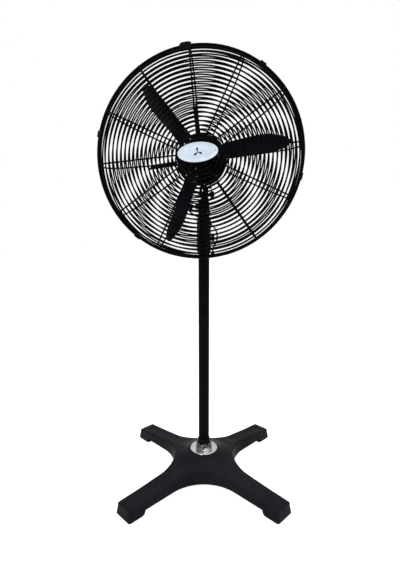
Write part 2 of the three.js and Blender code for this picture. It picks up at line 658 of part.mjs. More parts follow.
function hoop(radius, wire, y, steps, sides = 4) {
  const torus = new THREE.TorusGeometry(radius, wire, sides, steps);
  return placed(torus, 0, y, 0, Math.PI / 2);
}

// A wire cage: concentric rings on twelve spokes, welded to the rim.
function cage(skin, rings, inner, rimY) {
  const parts = [hoop(RIM_RADIUS - RIM_WIRE, RIM_WIRE, rimY, 36)];
  for (const radius of rings) parts.push(hoop(radius, RING_WIRE, skin(radius), ROUND_SIDES, 3));
  const rimReach = RIM_RADIUS - RIM_WIRE - 0.5;
  for (let spoke = 0; spoke < SPOKES; spoke++) {
    const turn = (spoke * 2 * Math.PI) / SPOKES;
    const points = [];
    for (const share of [0, 0.35, 0.65, 0.85, 0.95, 0.985]) {
      const radius = inner + share * (rimReach - inner);
      points.push([radius * Math.cos(turn), skin(radius), radius * Math.sin(turn)]);
    }
    points.push([rimReach * Math.cos(turn), rimY, rimReach * Math.sin(turn)]);
    parts.push(swept(points, SPOKE_WIRE, 3, 6));
  }
  return joined(...parts);
}

const FRONT_RINGS = [90, 160, 230, 300];
const REAR_RINGS = [101, 175, 250, 315];
const CENTRE_PLATE = 38;

function addGuards(roll) {
  const rearRim = RIM_PLANE + RIM_OFFSET;
  add(roll, 'rear_guard', cage(rearSkin, REAR_RINGS, 100, rearRim), BLACK_PAINT);

  const frontRim = RIM_PLANE - RIM_OFFSET;
  const face = frontSkin(0);
  const plate = lengthwise(CENTRE_PLATE, face - 2.5, face + 2.5);
  const front = joined(cage(frontSkin, FRONT_RINGS, 30, frontRim), plate);
  add(roll, 'front_guard', front, BLACK_PAINT);

  // the oval badge on the centre plate
  const oval = Array.from({ length: 32 }, (_, i) => {
    const turn = (i / 32) * 2 * Math.PI;
    return [(BADGE_LENGTH / 2) * Math.cos(turn), (BADGE_HEIGHT / 2) * Math.sin(turn)];
  });
  const badge = pushed(oval, 0, 4).rotateX(Math.PI / 2);
  add(roll, 'badge', badge.translate(0, face - 3.4, 0), WHITE);

  // four flat straps from the motor flange out to the rear guard
  const strapEnd = 203;
  const strapFront = MOTOR_FRONT - GAP - 2.5;
  const side = [[82, strapFront], [192, strapFront], [strapEnd, -89], [strapEnd, -86.4], [190, strapFront + 2.5],
    [82, strapFront + 2.5]];
  for (let i = 0; i < 4; i++) {
    const strap = pushed(side, -8, 8).rotateY(-(i * Math.PI) / 2 - THREE.MathUtils.degToRad(2));
    add(roll, `strap_${i + 1}`, strap, BLACK_PAINT);
  }
}

// a channel over both rims, open towards the middle
function rimChannel(length, wall, reach) {
  const half = RIM_OFFSET + RIM_WIRE + 0.6;
  const outer = RIM_RADIUS + 0.5;
  const [near, far] = [RIM_PLANE - half, RIM_PLANE + half];
  const side = [[outer - reach, near - wall], [outer + wall, near - wall], [outer + wall, far + wall],
    [outer - reach, far + wall], [outer - reach, far], [outer, far], [outer, near], [outer - reach, near]];
  return pushed(side, -length / 2, length / 2);
}

function addClips(roll) {
  const clipAngles = [48, 163, 227, 342].map(THREE.MathUtils.degToRad);
  clipAngles.forEach((angle, i) => {
    const clip = rimChannel(22, 2, 11).rotateY(-angle);
    add(roll, `rim_clip_${i + 1}`, clip, BLACK_PAINT);
  });
  // the larger lock block sits over the top spoke, with a slot for it
  const lean = THREE.MathUtils.degToRad(2);
  const across = -RIM_RADIUS * Math.sin(lean);
  const slot = box(330, RIM_RADIUS - 0.5, RIM_PLANE - 60, RIM_PLANE + 60, across - 4.5, across + 4.5);
  const lock = geometryOf(cut(rimChannel(40, 3, 14), slot));
  add(roll, 'rim_lock', lock.rotateY(-Math.PI / 2 - lean), BLACK_PAINT);
}

// ---------------------------------------------------------------- assembly
function turning(parent, x, y, z) {
  const group = new THREE.Group();
  group.position.set(x, y, z);
  parent.add(group);
  return group;
}

const fan = new THREE.Group();
addBase(fan);
addPole(fan);
addHeightLock(fan);
addMast(fan);
addTiltKnob(fan);
addControlBox(fan, fan);
addLead(fan);

const tilting = turning(fan, 0, 0, TILT_HEIGHT);
tilting.rotation.x = -TILT_REST;
addYoke(tilting);

const swinging = turning(tilting, 0, 0, SHAFT_RISE);
swinging.rotation.z = SWIVEL_REST;
addMotor(swinging);
addGearbox(swinging, swinging, swinging, swinging);
addRotor(swinging);
addBlades(swinging);

const rolled = turning(swinging, 0, 0, 0);
rolled.rotation.y = -GUARD_ROLL;
addGuards(rolled);
addClips(rolled);

export default fan;
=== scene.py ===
"""The finished look of the pedestal fan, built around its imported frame.

Shape details are in millimetres in each part's own frame: FLOOR for the stand and mast,
TILT for the bracket, HEAD for the motor (shaft along Y, air towards -Y) and GUARD for the
guards, which are rolled a little about the shaft. Where each frame stands comes from the
packed joints.
"""
import json
import math

import bmesh
import bpy
from mathutils import Matrix, Vector
from mathutils.geometry import delaunay_2d_cdt


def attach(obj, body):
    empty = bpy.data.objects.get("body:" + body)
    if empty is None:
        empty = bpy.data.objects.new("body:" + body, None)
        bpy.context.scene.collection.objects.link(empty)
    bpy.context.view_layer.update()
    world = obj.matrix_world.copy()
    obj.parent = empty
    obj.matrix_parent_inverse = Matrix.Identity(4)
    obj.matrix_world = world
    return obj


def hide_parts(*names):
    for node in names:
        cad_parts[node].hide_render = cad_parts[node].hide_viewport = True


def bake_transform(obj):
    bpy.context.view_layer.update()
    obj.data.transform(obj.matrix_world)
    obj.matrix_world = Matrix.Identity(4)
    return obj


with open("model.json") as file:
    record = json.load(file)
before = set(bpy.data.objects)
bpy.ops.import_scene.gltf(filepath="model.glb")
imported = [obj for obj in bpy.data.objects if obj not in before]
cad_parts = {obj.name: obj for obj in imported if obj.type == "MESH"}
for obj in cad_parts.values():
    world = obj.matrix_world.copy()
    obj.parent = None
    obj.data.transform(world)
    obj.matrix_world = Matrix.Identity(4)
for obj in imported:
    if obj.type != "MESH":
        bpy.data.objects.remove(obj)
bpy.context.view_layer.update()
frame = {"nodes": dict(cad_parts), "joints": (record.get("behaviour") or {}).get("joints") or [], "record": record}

MM = 0.001
JOINTS = {joint["name"]: joint for joint in frame["joints"]}


# --- camera
CAMERA_PLACE = (0.0, -1.600, 1.0637)
CAMERA_TILT = math.radians(81.76)
CAMERA_LENS = 24.6
CAMERA_SHIFT = -0.0068


def show(name, data):
    """A new object in the scene."""
    thing = bpy.data.objects.new(name, data)
    bpy.context.scene.collection.objects.link(thing)
    return thing


def add_camera():
    data = bpy.data.cameras.new("camera")
    data.lens = CAMERA_LENS
    data.sensor_width = 36.0
    data.shift_x = CAMERA_SHIFT
    data.clip_end = 60.0
    camera = show("camera", data)
    camera.location = CAMERA_PLACE
    camera.rotation_euler = (CAMERA_TILT, 0.0, 0.0)
    bpy.context.scene.camera = camera


add_camera()


# --- part frames
def axes_frame(origin, right, back, up):
    """A matrix from millimetres in a part's own axes to metres in the world."""
    matrix = Matrix((right, back, up)).transposed().to_4x4()
    matrix.translation = Vector(origin)
    return matrix @ Matrix.Scale(MM, 4)


def head_axes():
    up = Vector(JOINTS["head_swivel"]["axis"]).normalized()
    back = -Vector(JOINTS["rotor_spin"]["axis"]).normalized()
    right = back.cross(up)
    return right, back, up


def at(x, y, z):
    return Matrix.Translation((x, y, z))


def about_y(turn):
    return Matrix.Rotation(turn, 4, "Y")


FLOOR = Matrix.Scale(MM, 4)
SWIVEL_UP = Vector(JOINTS["head_swivel"]["axis"]).normalized()
TILT = axes_frame(JOINTS["head_tilt"]["pos_m"], Vector((1, 0, 0)),
                  SWIVEL_UP.cross(Vector((1, 0, 0))), SWIVEL_UP)
HEAD = axes_frame(JOINTS["head_swivel"]["pos_m"], *head_axes())
GUARD_ROLL = math.radians(5)
GUARD = HEAD @ about_y(-GUARD_ROLL)
ALONG_Y = Matrix.Rotation(-math.pi / 2, 4, "X")
TO_FRONT = Matrix.Rotation(math.pi / 2, 4, "X")
ALONG_X = about_y(math.pi / 2)
SIDEWAYS = Matrix.Rotation(math.pi / 2, 4, "Z") @ TO_FRONT


# --- materials
# the middle part of a noise, stretched over a tint's or a sheen's whole range
NOISE_RANGE = (0.35, 0.65)


class Shader:
    """One principled material, the slot it goes with, and a few ways to add noise to it.

    A noise is given as its scale, its detail and how it is stretched.
    """

    def __init__(self, name, slot, metallic=0.0, specular=0.5):
        self.slot = slot
        self.material = bpy.data.materials.new(name)
        self.material.use_nodes = True
        self.nodes = self.material.node_tree.nodes
        self.links = self.material.node_tree.links
        self.bsdf = self.nodes["Principled BSDF"]
        self.bsdf.inputs["Metallic"].default_value = metallic
        self.bsdf.inputs["Specular IOR Level"].default_value = specular
        self.place = self.nodes.new("ShaderNodeTexCoord").outputs["Object"]
        self.normal = None

    def add(self, kind, source, socket, **values):
        """A node with one input linked and others set; a name's underscores are spaces."""
        node = self.nodes.new(kind)
        for name, value in values.items():
            node.inputs[name.replace("_", " ")].default_value = value
        self.links.new(source, node.inputs[socket])
        return node

    def noise(self, scale, detail=4.0, stretch=None):
        place = self.place
        if stretch:
            place = self.add("ShaderNodeMapping", place, "Vector", Scale=stretch).outputs["Vector"]
        return self.add("ShaderNodeTexNoise", place, "Vector", Scale=scale, Detail=detail).outputs["Fac"]

    def tint(self, low, high, *noise):
        """Lets the colour wander between two."""
        ramp = self.add("ShaderNodeValToRGB", self.noise(*noise), "Fac")
        for element, position, color in zip(ramp.color_ramp.elements, NOISE_RANGE, (low, high)):
            element.position = position
            element.color = (*color, 1.0)
        self.links.new(ramp.outputs["Color"], self.bsdf.inputs["Base Color"])
        return self

    def sheen(self, low, high, *noise):
        """Lets the roughness wander between two values."""
        spread = self.add("ShaderNodeMapRange", self.noise(*noise), "Value", From_Min=NOISE_RANGE[0],
                          From_Max=NOISE_RANGE[1], To_Min=low, To_Max=high)
        self.links.new(spread.outputs["Result"], self.bsdf.inputs["Roughness"])
        return self

    def bump(self, depth, strength, height):
        node = self.add("ShaderNodeBump", height, "Height", Strength=strength, Distance=depth)
        if self.normal is not None:
            self.links.new(self.normal, node.inputs["Normal"])
        self.normal = node.outputs["Normal"]
        self.links.new(self.normal, self.bsdf.inputs["Normal"])
        return self

    def grain(self, depth, strength, *noise):
        return self.bump(depth, strength, self.noise(*noise))

    def pits(self, depth, strength, scale):
        cells = self.add("ShaderNodeTexVoronoi", self.place, "Vector", Scale=scale)
        return self.bump(depth, strength, cells.outputs["Distance"])


PAINT = (Shader("black paint", "black_paint", specular=0.012)
         .tint((0.0010, 0.0010, 0.0018), (0.0024, 0.0024, 0.0036), 9.0)
         .sheen(0.28, 0.42, 45.0).grain(0.0002, 0.35, 700.0, 2.0))
WIRE = (Shader("powder coat", "guard_wire", specular=0.01)
        .tint((0.0006, 0.0006, 0.001), (0.0018, 0.0018, 0.0024), 14.0)
        .sheen(0.36, 0.5, 60.0).grain(0.0001, 0.4, 1500.0, 2.0))
BLADE = (Shader("blade paint", "black_paint", specular=0.03)
         .tint((0.0014, 0.0014, 0.0024), (0.003, 0.003, 0.005), 6.0)
         .sheen(0.32, 0.48, 30.0).grain(0.0002, 0.3, 500.0, 2.0))
BASE = (Shader("base plastic", "black_plastic", specular=0.025)
        .tint((0.003, 0.0034, 0.0042), (0.0055, 0.006, 0.0075), 7.0, 6.0)
        .sheen(0.36, 0.52, 22.0, 6.0).grain(0.0012, 0.25, 26.0, 2.0).pits(0.0002, 0.3, 900.0))
PLASTIC = (Shader("moulded plastic", "black_plastic", specular=0.02)
           .tint((0.0013, 0.0013, 0.0018), (0.003, 0.003, 0.0036), 25.0)
           .sheen(0.42, 0.56, 80.0).pits(0.0001, 0.5, 1400.0))
RUBBER = (Shader("rubber", "rubber", specular=0.05)
          .tint((0.002, 0.002, 0.002), (0.005, 0.005, 0.005), 40.0)
          .sheen(0.7, 0.9, 120.0).grain(0.0002, 0.4, 900.0))
SHEATH = (Shader("cable sheath", "rubber", specular=0.06)
          .tint((0.0014, 0.0014, 0.002), (0.0032, 0.0032, 0.004), 60.0)
          .sheen(0.38, 0.55, 150.0).grain(0.0002, 0.3, 400.0))
CHROME = (Shader("chrome", "chrome", metallic=1.0)
          .tint((0.44, 0.44, 0.445), (0.56, 0.565, 0.57), 30.0)
          .sheen(0.12, 0.26, 90.0, 6.0).grain(0.0002, 0.12, 300.0))
# the same chrome with its colour painted darker: painted shade and dark reflections on the nut, castle ring and
# inner tube
SHADED_CHROME = (Shader("chrome with painted shade", "chrome", metallic=1.0)
          .tint((0.12, 0.115, 0.105), (0.21, 0.205, 0.195), 30.0)
          .sheen(0.18, 0.34, 90.0, 6.0).grain(0.0002, 0.15, 300.0))
STEEL = (Shader("turned steel", "steel", metallic=1.0)
         .tint((0.27, 0.27, 0.28), (0.42, 0.42, 0.43), 50.0)
         .sheen(0.22, 0.42, 200.0, 4.0, (1, 1, 8)).grain(0.0001, 0.3, 800.0, 4.0, (1, 1, 6)))
IRON = (Shader("cast iron", "cast_iron", metallic=0.6)
        .tint((0.02, 0.02, 0.02), (0.05, 0.045, 0.04), 40.0)
        .sheen(0.65, 0.85, 90.0).grain(0.0008, 0.7, 250.0))
ALUMINIUM = (Shader("cast aluminium", "aluminium", metallic=1.0)
             .tint((0.42, 0.42, 0.44), (0.56, 0.56, 0.58), 40.0)
             .sheen(0.32, 0.5, 120.0).grain(0.0003, 0.4, 350.0))
WHITE = (Shader("badge white", "badge_white", specular=0.2)
         .tint((0.25, 0.285, 0.33), (0.29, 0.325, 0.37), 35.0)
         .sheen(0.22, 0.36, 110.0).grain(0.0001, 0.15, 600.0))
NYLON = (Shader("nylon", "nylon", specular=0.4)
         .tint((0.54, 0.52, 0.47), (0.66, 0.64, 0.58), 50.0)
         .sheen(0.42, 0.58, 100.0).grain(0.0002, 0.3, 500.0))

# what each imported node's slot looks like
SLOT_MATERIAL = {shader.slot: shader.material for shader in
                 (PLASTIC, PAINT, WIRE, RUBBER, CHROME, STEEL, IRON, ALUMINIUM, WHITE, NYLON)}
SLOT_MATERIAL["lamination"] = PAINT.material


# --- mesh building
ON_AXIS = 1e-6


def polar(radius, turn, middle=(0, 0)):
    return middle[0] + radius * math.cos(turn), middle[1] + radius * math.sin(turn)


def circle(radius, count, start=0.0):
    return [polar(radius, start + 2 * math.pi * i / count) for i in range(count)]


def arc(middle, radius, start, end, steps):
    """Points along part of a circle, with both its ends."""
    return [polar(radius, start + (end - start) * i / steps, middle) for i in range(steps + 1)]


def oblong(left, low, right, high):
    return [(left, low), (right, low), (right, high), (left, high)]


def rounded(points, radius, steps=4, closed=True):
    """The outline with each corner turned into a short curve."""
    result = []
    count = len(points)
    for i, point in enumerate(points):
        corner = Vector(point)
        if not closed and i in (0, count - 1):
            result.append(tuple(corner))
            continue
        before = Vector(points[i - 1]) - corner
        after = Vector(points[(i + 1) % count]) - corner
        reach = min(radius, 0.45 * before.length, 0.45 * after.length)
        start = corner + before.normalized() * reach
        end = corner + after.normalized() * reach
        for step in range(steps + 1):
            t = step / steps
            bend = start * (1 - t) ** 2 + corner * 2 * t * (1 - t) + end * t ** 2
            result.append(tuple(bend))
    return result


def join_rings(mesh, rings, capped=True):
    """Quads between rings of equally many points, and flat end faces if capped."""
    for low, high in zip(rings, rings[1:]):
        for i in range(len(low)):
            j = (i + 1) % len(low)
            mesh.faces.new((low[i], low[j], high[j], high[i]))
    if capped:
        mesh.faces.new(list(reversed(rings[0])))
        mesh.faces.new(rings[-1])


def lathe(mesh, profile, segments=96, matrix=Matrix()):
    """Turns [radius, height] points about Z. A profile off the axis closes on itself."""
    rings = []
    for radius, height in profile:
        points = circle(radius, segments) if radius > ON_AXIS else [(0, 0)]
        rings.append([mesh.verts.new(matrix @ Vector((x, y, height))) for x, y in points])
    if len(rings[0]) > 1 and len(rings[-1]) > 1:
        rings.append(rings[0])
    for low, high in zip(rings, rings[1:]):
        for i in range(segments):
            j = (i + 1) % segments
            if len(low) == 1:
                mesh.faces.new((low[0], high[j], high[i]))
            elif len(high) == 1:
                mesh.faces.new((low[i], low[j], high[0]))
            else:
                mesh.faces.new((low[i], low[j], high[j], high[i]))


def about_shaft(mesh, profile, segments=128):
    """Turns [radius, y] points about the shaft."""
    lathe(mesh, [(radius, -y) for radius, y in profile], segments, TO_FRONT)


def round_off(solid, edges, width, steps):
    bmesh.ops.bevel(solid, geom=edges, offset=width, segments=steps, profile=0.5,
                    affect="EDGES", clamp_overlap=True)


def prism(mesh, outline, low, high, matrix=Matrix(), bevel=0.0, steps=3):
    """Pushes a flat outline from z = low to z = high, with rounded edges at both faces."""
    solid = bmesh.new()
    bottom = [solid.verts.new((x, y, low)) for x, y in outline]
    top = [solid.verts.new((x, y, high)) for x, y in outline]
    floor = solid.faces.new(list(reversed(bottom)))
    roof = solid.faces.new(top)
    count = len(outline)
    for i in range(count):
        j = (i + 1) % count
        solid.faces.new((bottom[i], bottom[j], top[j], top[i]))
    if bevel:
        round_off(solid, list(set(floor.edges) | set(roof.edges)), bevel, steps)
    merge_in(mesh, solid, matrix)


def block(mesh, low, high, matrix=Matrix(), bevel=1.0, steps=3):
    """A box between two corners with all its edges rounded."""
    solid = bmesh.new()
    made = bmesh.ops.create_cube(solid, size=1.0)
    low, high = Vector(low), Vector(high)
    for vert in made["verts"]:
        for axis in range(3):
            vert.co[axis] = high[axis] if vert.co[axis] > 0 else low[axis]
    round_off(solid, solid.edges[:], bevel, steps)
    merge_in(mesh, solid, matrix)


def merge_in(mesh, solid, matrix):
    """Copies one bmesh into another through a matrix, and frees it."""
    bmesh.ops.transform(solid, matrix=matrix, verts=solid.verts)
    copies = {vert: mesh.verts.new(vert.co) for vert in solid.verts}
    for face in solid.faces:
        mesh.faces.new([copies[vert] for vert in face.verts])
    solid.free()


def sweep(mesh, path, radius, sides=10, matrix=Matrix()):
    """A round wire along a path of points, turned as little as possible on the way."""
    path = [Vector(point) for point in path]
    last = len(path) - 1
    tangents = [(path[min(i + 1, last)] - path[max(i - 1, 0)]).normalized()
                for i in range(len(path))]
    side = tangents[0].orthogonal().normalized()
    rings = []
    for point, tangent in zip(path, tangents):
        side = (side - tangent * side.dot(tangent)).normalized()
        up = tangent.cross(side)
        rings.append([mesh.verts.new(matrix @ (point + side * x + up * y))
                      for x, y in circle(radius, sides)])
    join_rings(mesh, rings)


def hoop(mesh, radius, y, wire, segments=160, sides=8):
    """A wire ring about the shaft."""
    about_shaft(mesh, [(radius + out, y + along) for out, along in circle(wire, sides)], segments)


def screw(mesh, place, radius=3.0, height=2.2):
    """A round-headed screw with a socket, standing along the matrix's own Z."""
    socket = radius * 0.45
    profile = [(0, height * 0.35), (socket, height * 0.35), (socket, height * 0.95),
               (radius * 0.75, height * 0.9), (radius, height * 0.45), (radius, -0.4), (0, -0.4)]
    lathe(mesh, profile, 20, place)


def new_piece(name, mesh, matrix, shader, body, replaces=(), smooth=35.0, slot=None):
    """Turns a bmesh in a part's frame into a riding piece in the world."""
    bmesh.ops.transform(mesh, matrix=matrix, verts=mesh.verts)
    bmesh.ops.recalc_face_normals(mesh, faces=mesh.faces)
    data = bpy.data.meshes.new(name)
    mesh.to_mesh(data)
    mesh.free()
    for polygon in data.polygons:
        polygon.use_smooth = True
    data.set_sharp_from_angle(angle=math.radians(smooth))
    data.materials.append(shader.material)
    piece = show(name, data)
    if body:
        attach(piece, body)
    slot = slot or shader.slot
    if replaces:
        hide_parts(*replaces)
    return piece


def stand_in(node, mesh, matrix, shader, body, smooth=35.0):
    """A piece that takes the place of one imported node."""
    return new_piece(f"{node}_fine", mesh, matrix, shader, body, [node], smooth)


def turned(node, profile, matrix, shader, body, segments=96, place=Matrix()):
    """A stand-in that is a single turned shape."""
    mesh = bmesh.new()
    lathe(mesh, profile, segments, place)
    stand_in(node, mesh, matrix, shader, body)


# --- base
FOOT_REACH = 426.5
FOOT_HALF = 44.5
FOOT_LENGTH = 67.0
WEB_RADIUS = 171.0
SIDE_DRAFT = 0.1
TIP_DRAFT = 0.12
WALL_HEIGHT = 45.0
PAD_TOP = 6.3
ARCH = 23.0
EDGE_ROUND = 7.5
SHELL_WALL = 4.0
DECK_GRID = 5.0
# distance from the pole, height of the deck
DECK_PROFILE = [(0, 105.7), (65, 105.7), (70, 103.6), (82, 96), (92, 91.4), (123, 81.5), (200, 68.5),
                (320, 56.5), (450, 47.5)]
PANEL_START = 172.0
PANEL_END = 388.0
PANEL_HALF = 21.0
PANEL_DEPTH = 1.6


def profile_height(radius):
    for (r0, z0), (r1, z1) in zip(DECK_PROFILE, DECK_PROFILE[1:]):
        if radius <= r1:
            return z0 + (z1 - z0) * (radius - r0) / (r1 - r0)
    return DECK_PROFILE[-1][1]


def deck_height(radius):
    """The deck's height by distance from the pole, with the profile's corners eased."""
    near = [profile_height(max(radius + shift, 0.0)) for shift in (-5, -2.5, 0, 2.5, 5)]
    return sum(near) / len(near)


def leg_outline(half, reach, corner):
    """One leg's share of the outline: [along, across] from its right side round its tip to
    its left side, and on round the web to the next leg."""
    quarter = math.pi / 2
    inner = reach - corner
    foot_edge = FOOT_REACH - FOOT_LENGTH
    web_start = FOOT_HALF + WEB_RADIUS
    side = [inner - (inner - foot_edge) * i / 4 for i in range(5)]
    side += [foot_edge - drop for drop in (2, 4.5, 7, 9, 12)]
    side += [foot_edge - 12 - (foot_edge - 12 - web_start) * i / 12 for i in range(1, 13)]
    points = [(u, -half) for u in reversed(side[:-1])]
    points += arc((inner, corner - half), corner, -quarter, 0, 8)[1:]
    points += [(reach, (2 * i / 6 - 1) * (half - corner)) for i in range(1, 6)]
    points += arc((inner, half - corner), corner, 0, quarter, 8)[:-1]
    points += [(u, half) for u in side]
    points += arc((web_start, web_start), web_start - half, -quarter, -math.pi, 32)[1:]
    return points


def leg_turn(leg):
    return math.pi / 4 + leg * math.pi / 2


def on_leg(leg, u, v):
    """The x and y of a point given along and across a leg."""
    turn = leg_turn(leg)
    return u * math.cos(turn) - v * math.sin(turn), u * math.sin(turn) + v * math.cos(turn)


def leg_distances(x, y):
    """How far a point is along the nearest leg, and across it."""
    u, v = abs(x + y) / math.sqrt(2), abs(y - x) / math.sqrt(2)
    return max(u, v), min(u, v)


def cross_ring(half, reach, corner):
    """The whole outline as x, y and the distance along the leg."""
    return [(*on_leg(leg, u, v), max(u, v))
            for leg in range(4) for u, v in leg_outline(half, reach, corner)]


def inside_cross(x, y, half, reach):
    """Whether a point is on the deck."""
    along, across = leg_distances(x, y)
    if along > reach:
        return False
    if across < half:
        return True
    web_start = FOOT_HALF + WEB_RADIUS
    return along < web_start and math.hypot(web_start - along, web_start - across) > web_start - half


def under_height(along):
    """The lower edge: the foot's sole, a short ramp, then the arch between the feet."""
    t = min(max((FOOT_REACH - FOOT_LENGTH - along) / 9.0, 0.0), 1.0)
    return PAD_TOP + (ARCH - PAD_TOP) * t * t * (3 - 2 * t)


def wall_rings(wall):
    """Rings of the shell from its lower edge up its wall and over the rounded edge."""
    rings = []
    side_inset = WALL_HEIGHT * SIDE_DRAFT + wall
    tip_inset = WALL_HEIGHT * TIP_DRAFT + wall
    edge = cross_ring(FOOT_HALF - side_inset, FOOT_REACH - tip_inset, 9.0)
    tops = [deck_height(math.hypot(x, y)) - EDGE_ROUND - wall for x, y, _ in edge]
    lows = [under_height(along) for _, _, along in edge]
    for share in (0.0, 0.04, 0.35, 0.7, 1.0):
        rise = share * WALL_HEIGHT
        outline = cross_ring(FOOT_HALF - wall - rise * SIDE_DRAFT,
                             FOOT_REACH - wall - rise * TIP_DRAFT, 9.0)
        rings.append([Vector((x, y, low + share * (top - low)))
                      for (x, y, _), top, low in zip(outline, tops, lows)])
    for i in range(1, 8):
        turn = math.pi / 2 * i / 7
        inset = EDGE_ROUND * (1 - math.cos(turn))
        lift = EDGE_ROUND * (math.sin(turn) - 1) - wall
        outline = cross_ring(FOOT_HALF - side_inset - inset, FOOT_REACH - tip_inset - inset, 6.0)
        rings.append([Vector((x, y, deck_height(math.hypot(x, y)) + lift)) for x, y, _ in outline])
    return rings


def panel_loop(inset, leg):
    """The outline of the shallow panel on a leg, as x and y."""
    outline = oblong(PANEL_START + inset, inset - PANEL_HALF, PANEL_END - inset, PANEL_HALF - inset)
    return [on_leg(leg, u, v) for u, v in rounded(outline, 11 - inset, steps=8)]


def on_panel(x, y, margin):
    along, across = leg_distances(x, y)
    return PANEL_START - margin < along < PANEL_END + margin and across < PANEL_HALF + margin


def deck_field(mesh, ring, wall, panels):
    """Fills the deck inside its rounded edge with an even mesh at the deck's own height."""
    half = FOOT_HALF - WALL_HEIGHT * SIDE_DRAFT - wall - EDGE_ROUND
    reach = FOOT_REACH - WALL_HEIGHT * TIP_DRAFT - wall - EDGE_ROUND
    flat = [Vector((point.x, point.y)) for point in ring]
    edges = [(i, (i + 1) % len(flat)) for i in range(len(flat))]
    drops = [0.0] * len(flat)
    if panels:
        for leg in range(4):
            for inset, drop in ((0.0, 0.0), (1.4, 0.3 * PANEL_DEPTH), (3.0, PANEL_DEPTH)):
                loop = [Vector(point) for point in panel_loop(inset, leg)]
                first = len(flat)
                flat += loop
                drops += [drop] * len(loop)
                edges += [(first + i, first + (i + 1) % len(loop)) for i in range(len(loop))]
    count = int(FOOT_REACH / DECK_GRID)
    for i in range(-count, count + 1):
        for j in range(-count, count + 1):
            x, y = i * DECK_GRID, j * DECK_GRID
            if not inside_cross(x, y, half - 2.5, reach - 2.5):
                continue
            if panels and on_panel(x, y, 1.5) and not on_panel(x, y, -4.5):
                continue
            flat.append(Vector((x, y)))
            drops.append(PANEL_DEPTH if panels and on_panel(x, y, -4.5) else 0.0)
    points, _, faces, sources, _, _ = delaunay_2d_cdt(flat, edges, [], 1, 1e-4)
    verts = []
    for point, source in zip(points, sources):
        drop = drops[source[0]] if source else 0.0
        height = deck_height(point.length) - wall - drop
        verts.append(mesh.verts.new((point.x, point.y, height)))
    for face in faces:
        mesh.faces.new([verts[i] for i in face])


def add_base_shell():
    mesh = bmesh.new()
    outer = wall_rings(0.0)
    inner = wall_rings(SHELL_WALL)
    rings = [[mesh.verts.new(point) for point in ring] for ring in list(reversed(inner)) + outer]
    join_rings(mesh, rings, capped=False)
    deck_field(mesh, outer[-1], 0.0, True)
    deck_field(mesh, inner[-1], SHELL_WALL, False)
    bmesh.ops.remove_doubles(mesh, verts=mesh.verts, dist=0.01)
    stand_in("base_shell", mesh, FLOOR, BASE, "stand", smooth=50)


def add_foot_pads():
    middle = FOOT_REACH - FOOT_LENGTH / 2 - 4
    for leg in range(4):
        mesh = bmesh.new()
        outline = rounded(oblong(-33.5, -40, 33.5, 40), 7.0)
        prism(mesh, outline, 0, 6.0, bevel=1.2)
        for groove in range(5):
            y = -28 + 14 * groove
            block(mesh, (-30, y - 3, 5), (30, y + 3, 9), bevel=0.6)
        place = Matrix.Rotation(leg_turn(leg), 4, "Z") @ at(middle, 0, 0)
        stand_in(f"foot_pad_{leg + 1}", mesh, FLOOR @ place, RUBBER, "stand")


# --- pole and its fittings
TUBE_RADIUS = 22.5
TUBE_BORE = 20.3
TUBE_TOP = 1166.0
LOCK_PLACE = at(0, 0, 1152.0) @ ALONG_X
DISC_RADIUS = 58.5
CASTLE_RADIUS = 31


def hexagon(across):
    return circle(across / math.sqrt(3), 6, math.pi / 6)


def add_pole():
    hole = TUBE_RADIUS + 0.3
    disc = [(hole, 106), (DISC_RADIUS, 106), (DISC_RADIUS, 109.4), (DISC_RADIUS - 1.5, 110),
            (hole, 110)]
    turned("flange_disc", rounded(disc, 0.7), FLOOR, CHROME, "stand", 128)

    mesh = bmesh.new()
    prism(mesh, rounded(hexagon(69), 2.0), 110.3, 124, bevel=1.6)
    for low, high, radius in ((110.15, 111.4, 34.6), (123.2, 124.1, 31.5)):
        lathe(mesh, oblong(hole, low, radius, high))
    stand_in("base_nut", mesh, FLOOR, SHADED_CHROME, "stand")

    add_castle_ring(hole)

    collar = [(hole, 138.3), (27, 138.3), (27, 141), (26.3, 141.8), (26.3, 152), (25.4, 155.5),
              (hole, 156)]
    turned("pole_collar", rounded(collar, 1.2), FLOOR, PLASTIC, "stand")

    mesh = bmesh.new()
    tube = [(TUBE_BORE, 26.5), (TUBE_RADIUS, 26.5), (TUBE_RADIUS, TUBE_TOP - 0.5),
            (TUBE_RADIUS - 0.5, TUBE_TOP), (TUBE_BORE, TUBE_TOP)]
    lathe(mesh, tube, 128)
    boss = [(4.6, -34), (11, -34), (11, -26), (13.5, -20.5), (4.6, -20.5)]
    lathe(mesh, rounded(boss, 1.0), 48, LOCK_PLACE)
    stand_in("outer_tube", mesh, FLOOR, PAINT, "stand")

    bush = [(17.8, 1122), (20.0, 1122), (20.0, 1166.3), (22.4, 1166.3), (22.4, 1168.6), (21.8, 1169),
            (17.8, 1169)]
    turned("tube_bush", bush, FLOOR, PLASTIC, "stand")

    dish = [(0, 5.5), (60, 5.5), (76, 22.7), (105, 22.7), (105, 25.7), (74, 25.7), (58, 8.5), (0, 8.5)]
    turned("base_plate", rounded(dish, 2.0, closed=False), FLOOR, PAINT, "stand")


def add_castle_ring(hole):
    """A locking ring: a plain collar below, six castellations above, a groove between."""
    mesh = bmesh.new()
    groove = CASTLE_RADIUS - 1.2
    lower = [(hole, 124.3), (CASTLE_RADIUS - 0.8, 124.3), (CASTLE_RADIUS, 125.1), (CASTLE_RADIUS, 128),
             (groove, 128.7), (groove, 129.6), (CASTLE_RADIUS, 130.3), (CASTLE_RADIUS, 131.8),
             (hole, 131.8)]
    lathe(mesh, lower)
    notch = math.radians(14)
    for tooth in range(6):
        start = tooth * math.pi / 3 + notch / 2
        end = start + math.pi / 3 - notch
        outline = arc((0, 0), CASTLE_RADIUS, start, end, 8) + arc((0, 0), hole, end, start, 8)
        prism(mesh, outline, 131.2, 138, bevel=0.7)
    stand_in("castle_ring", mesh, FLOOR, SHADED_CHROME, "stand")


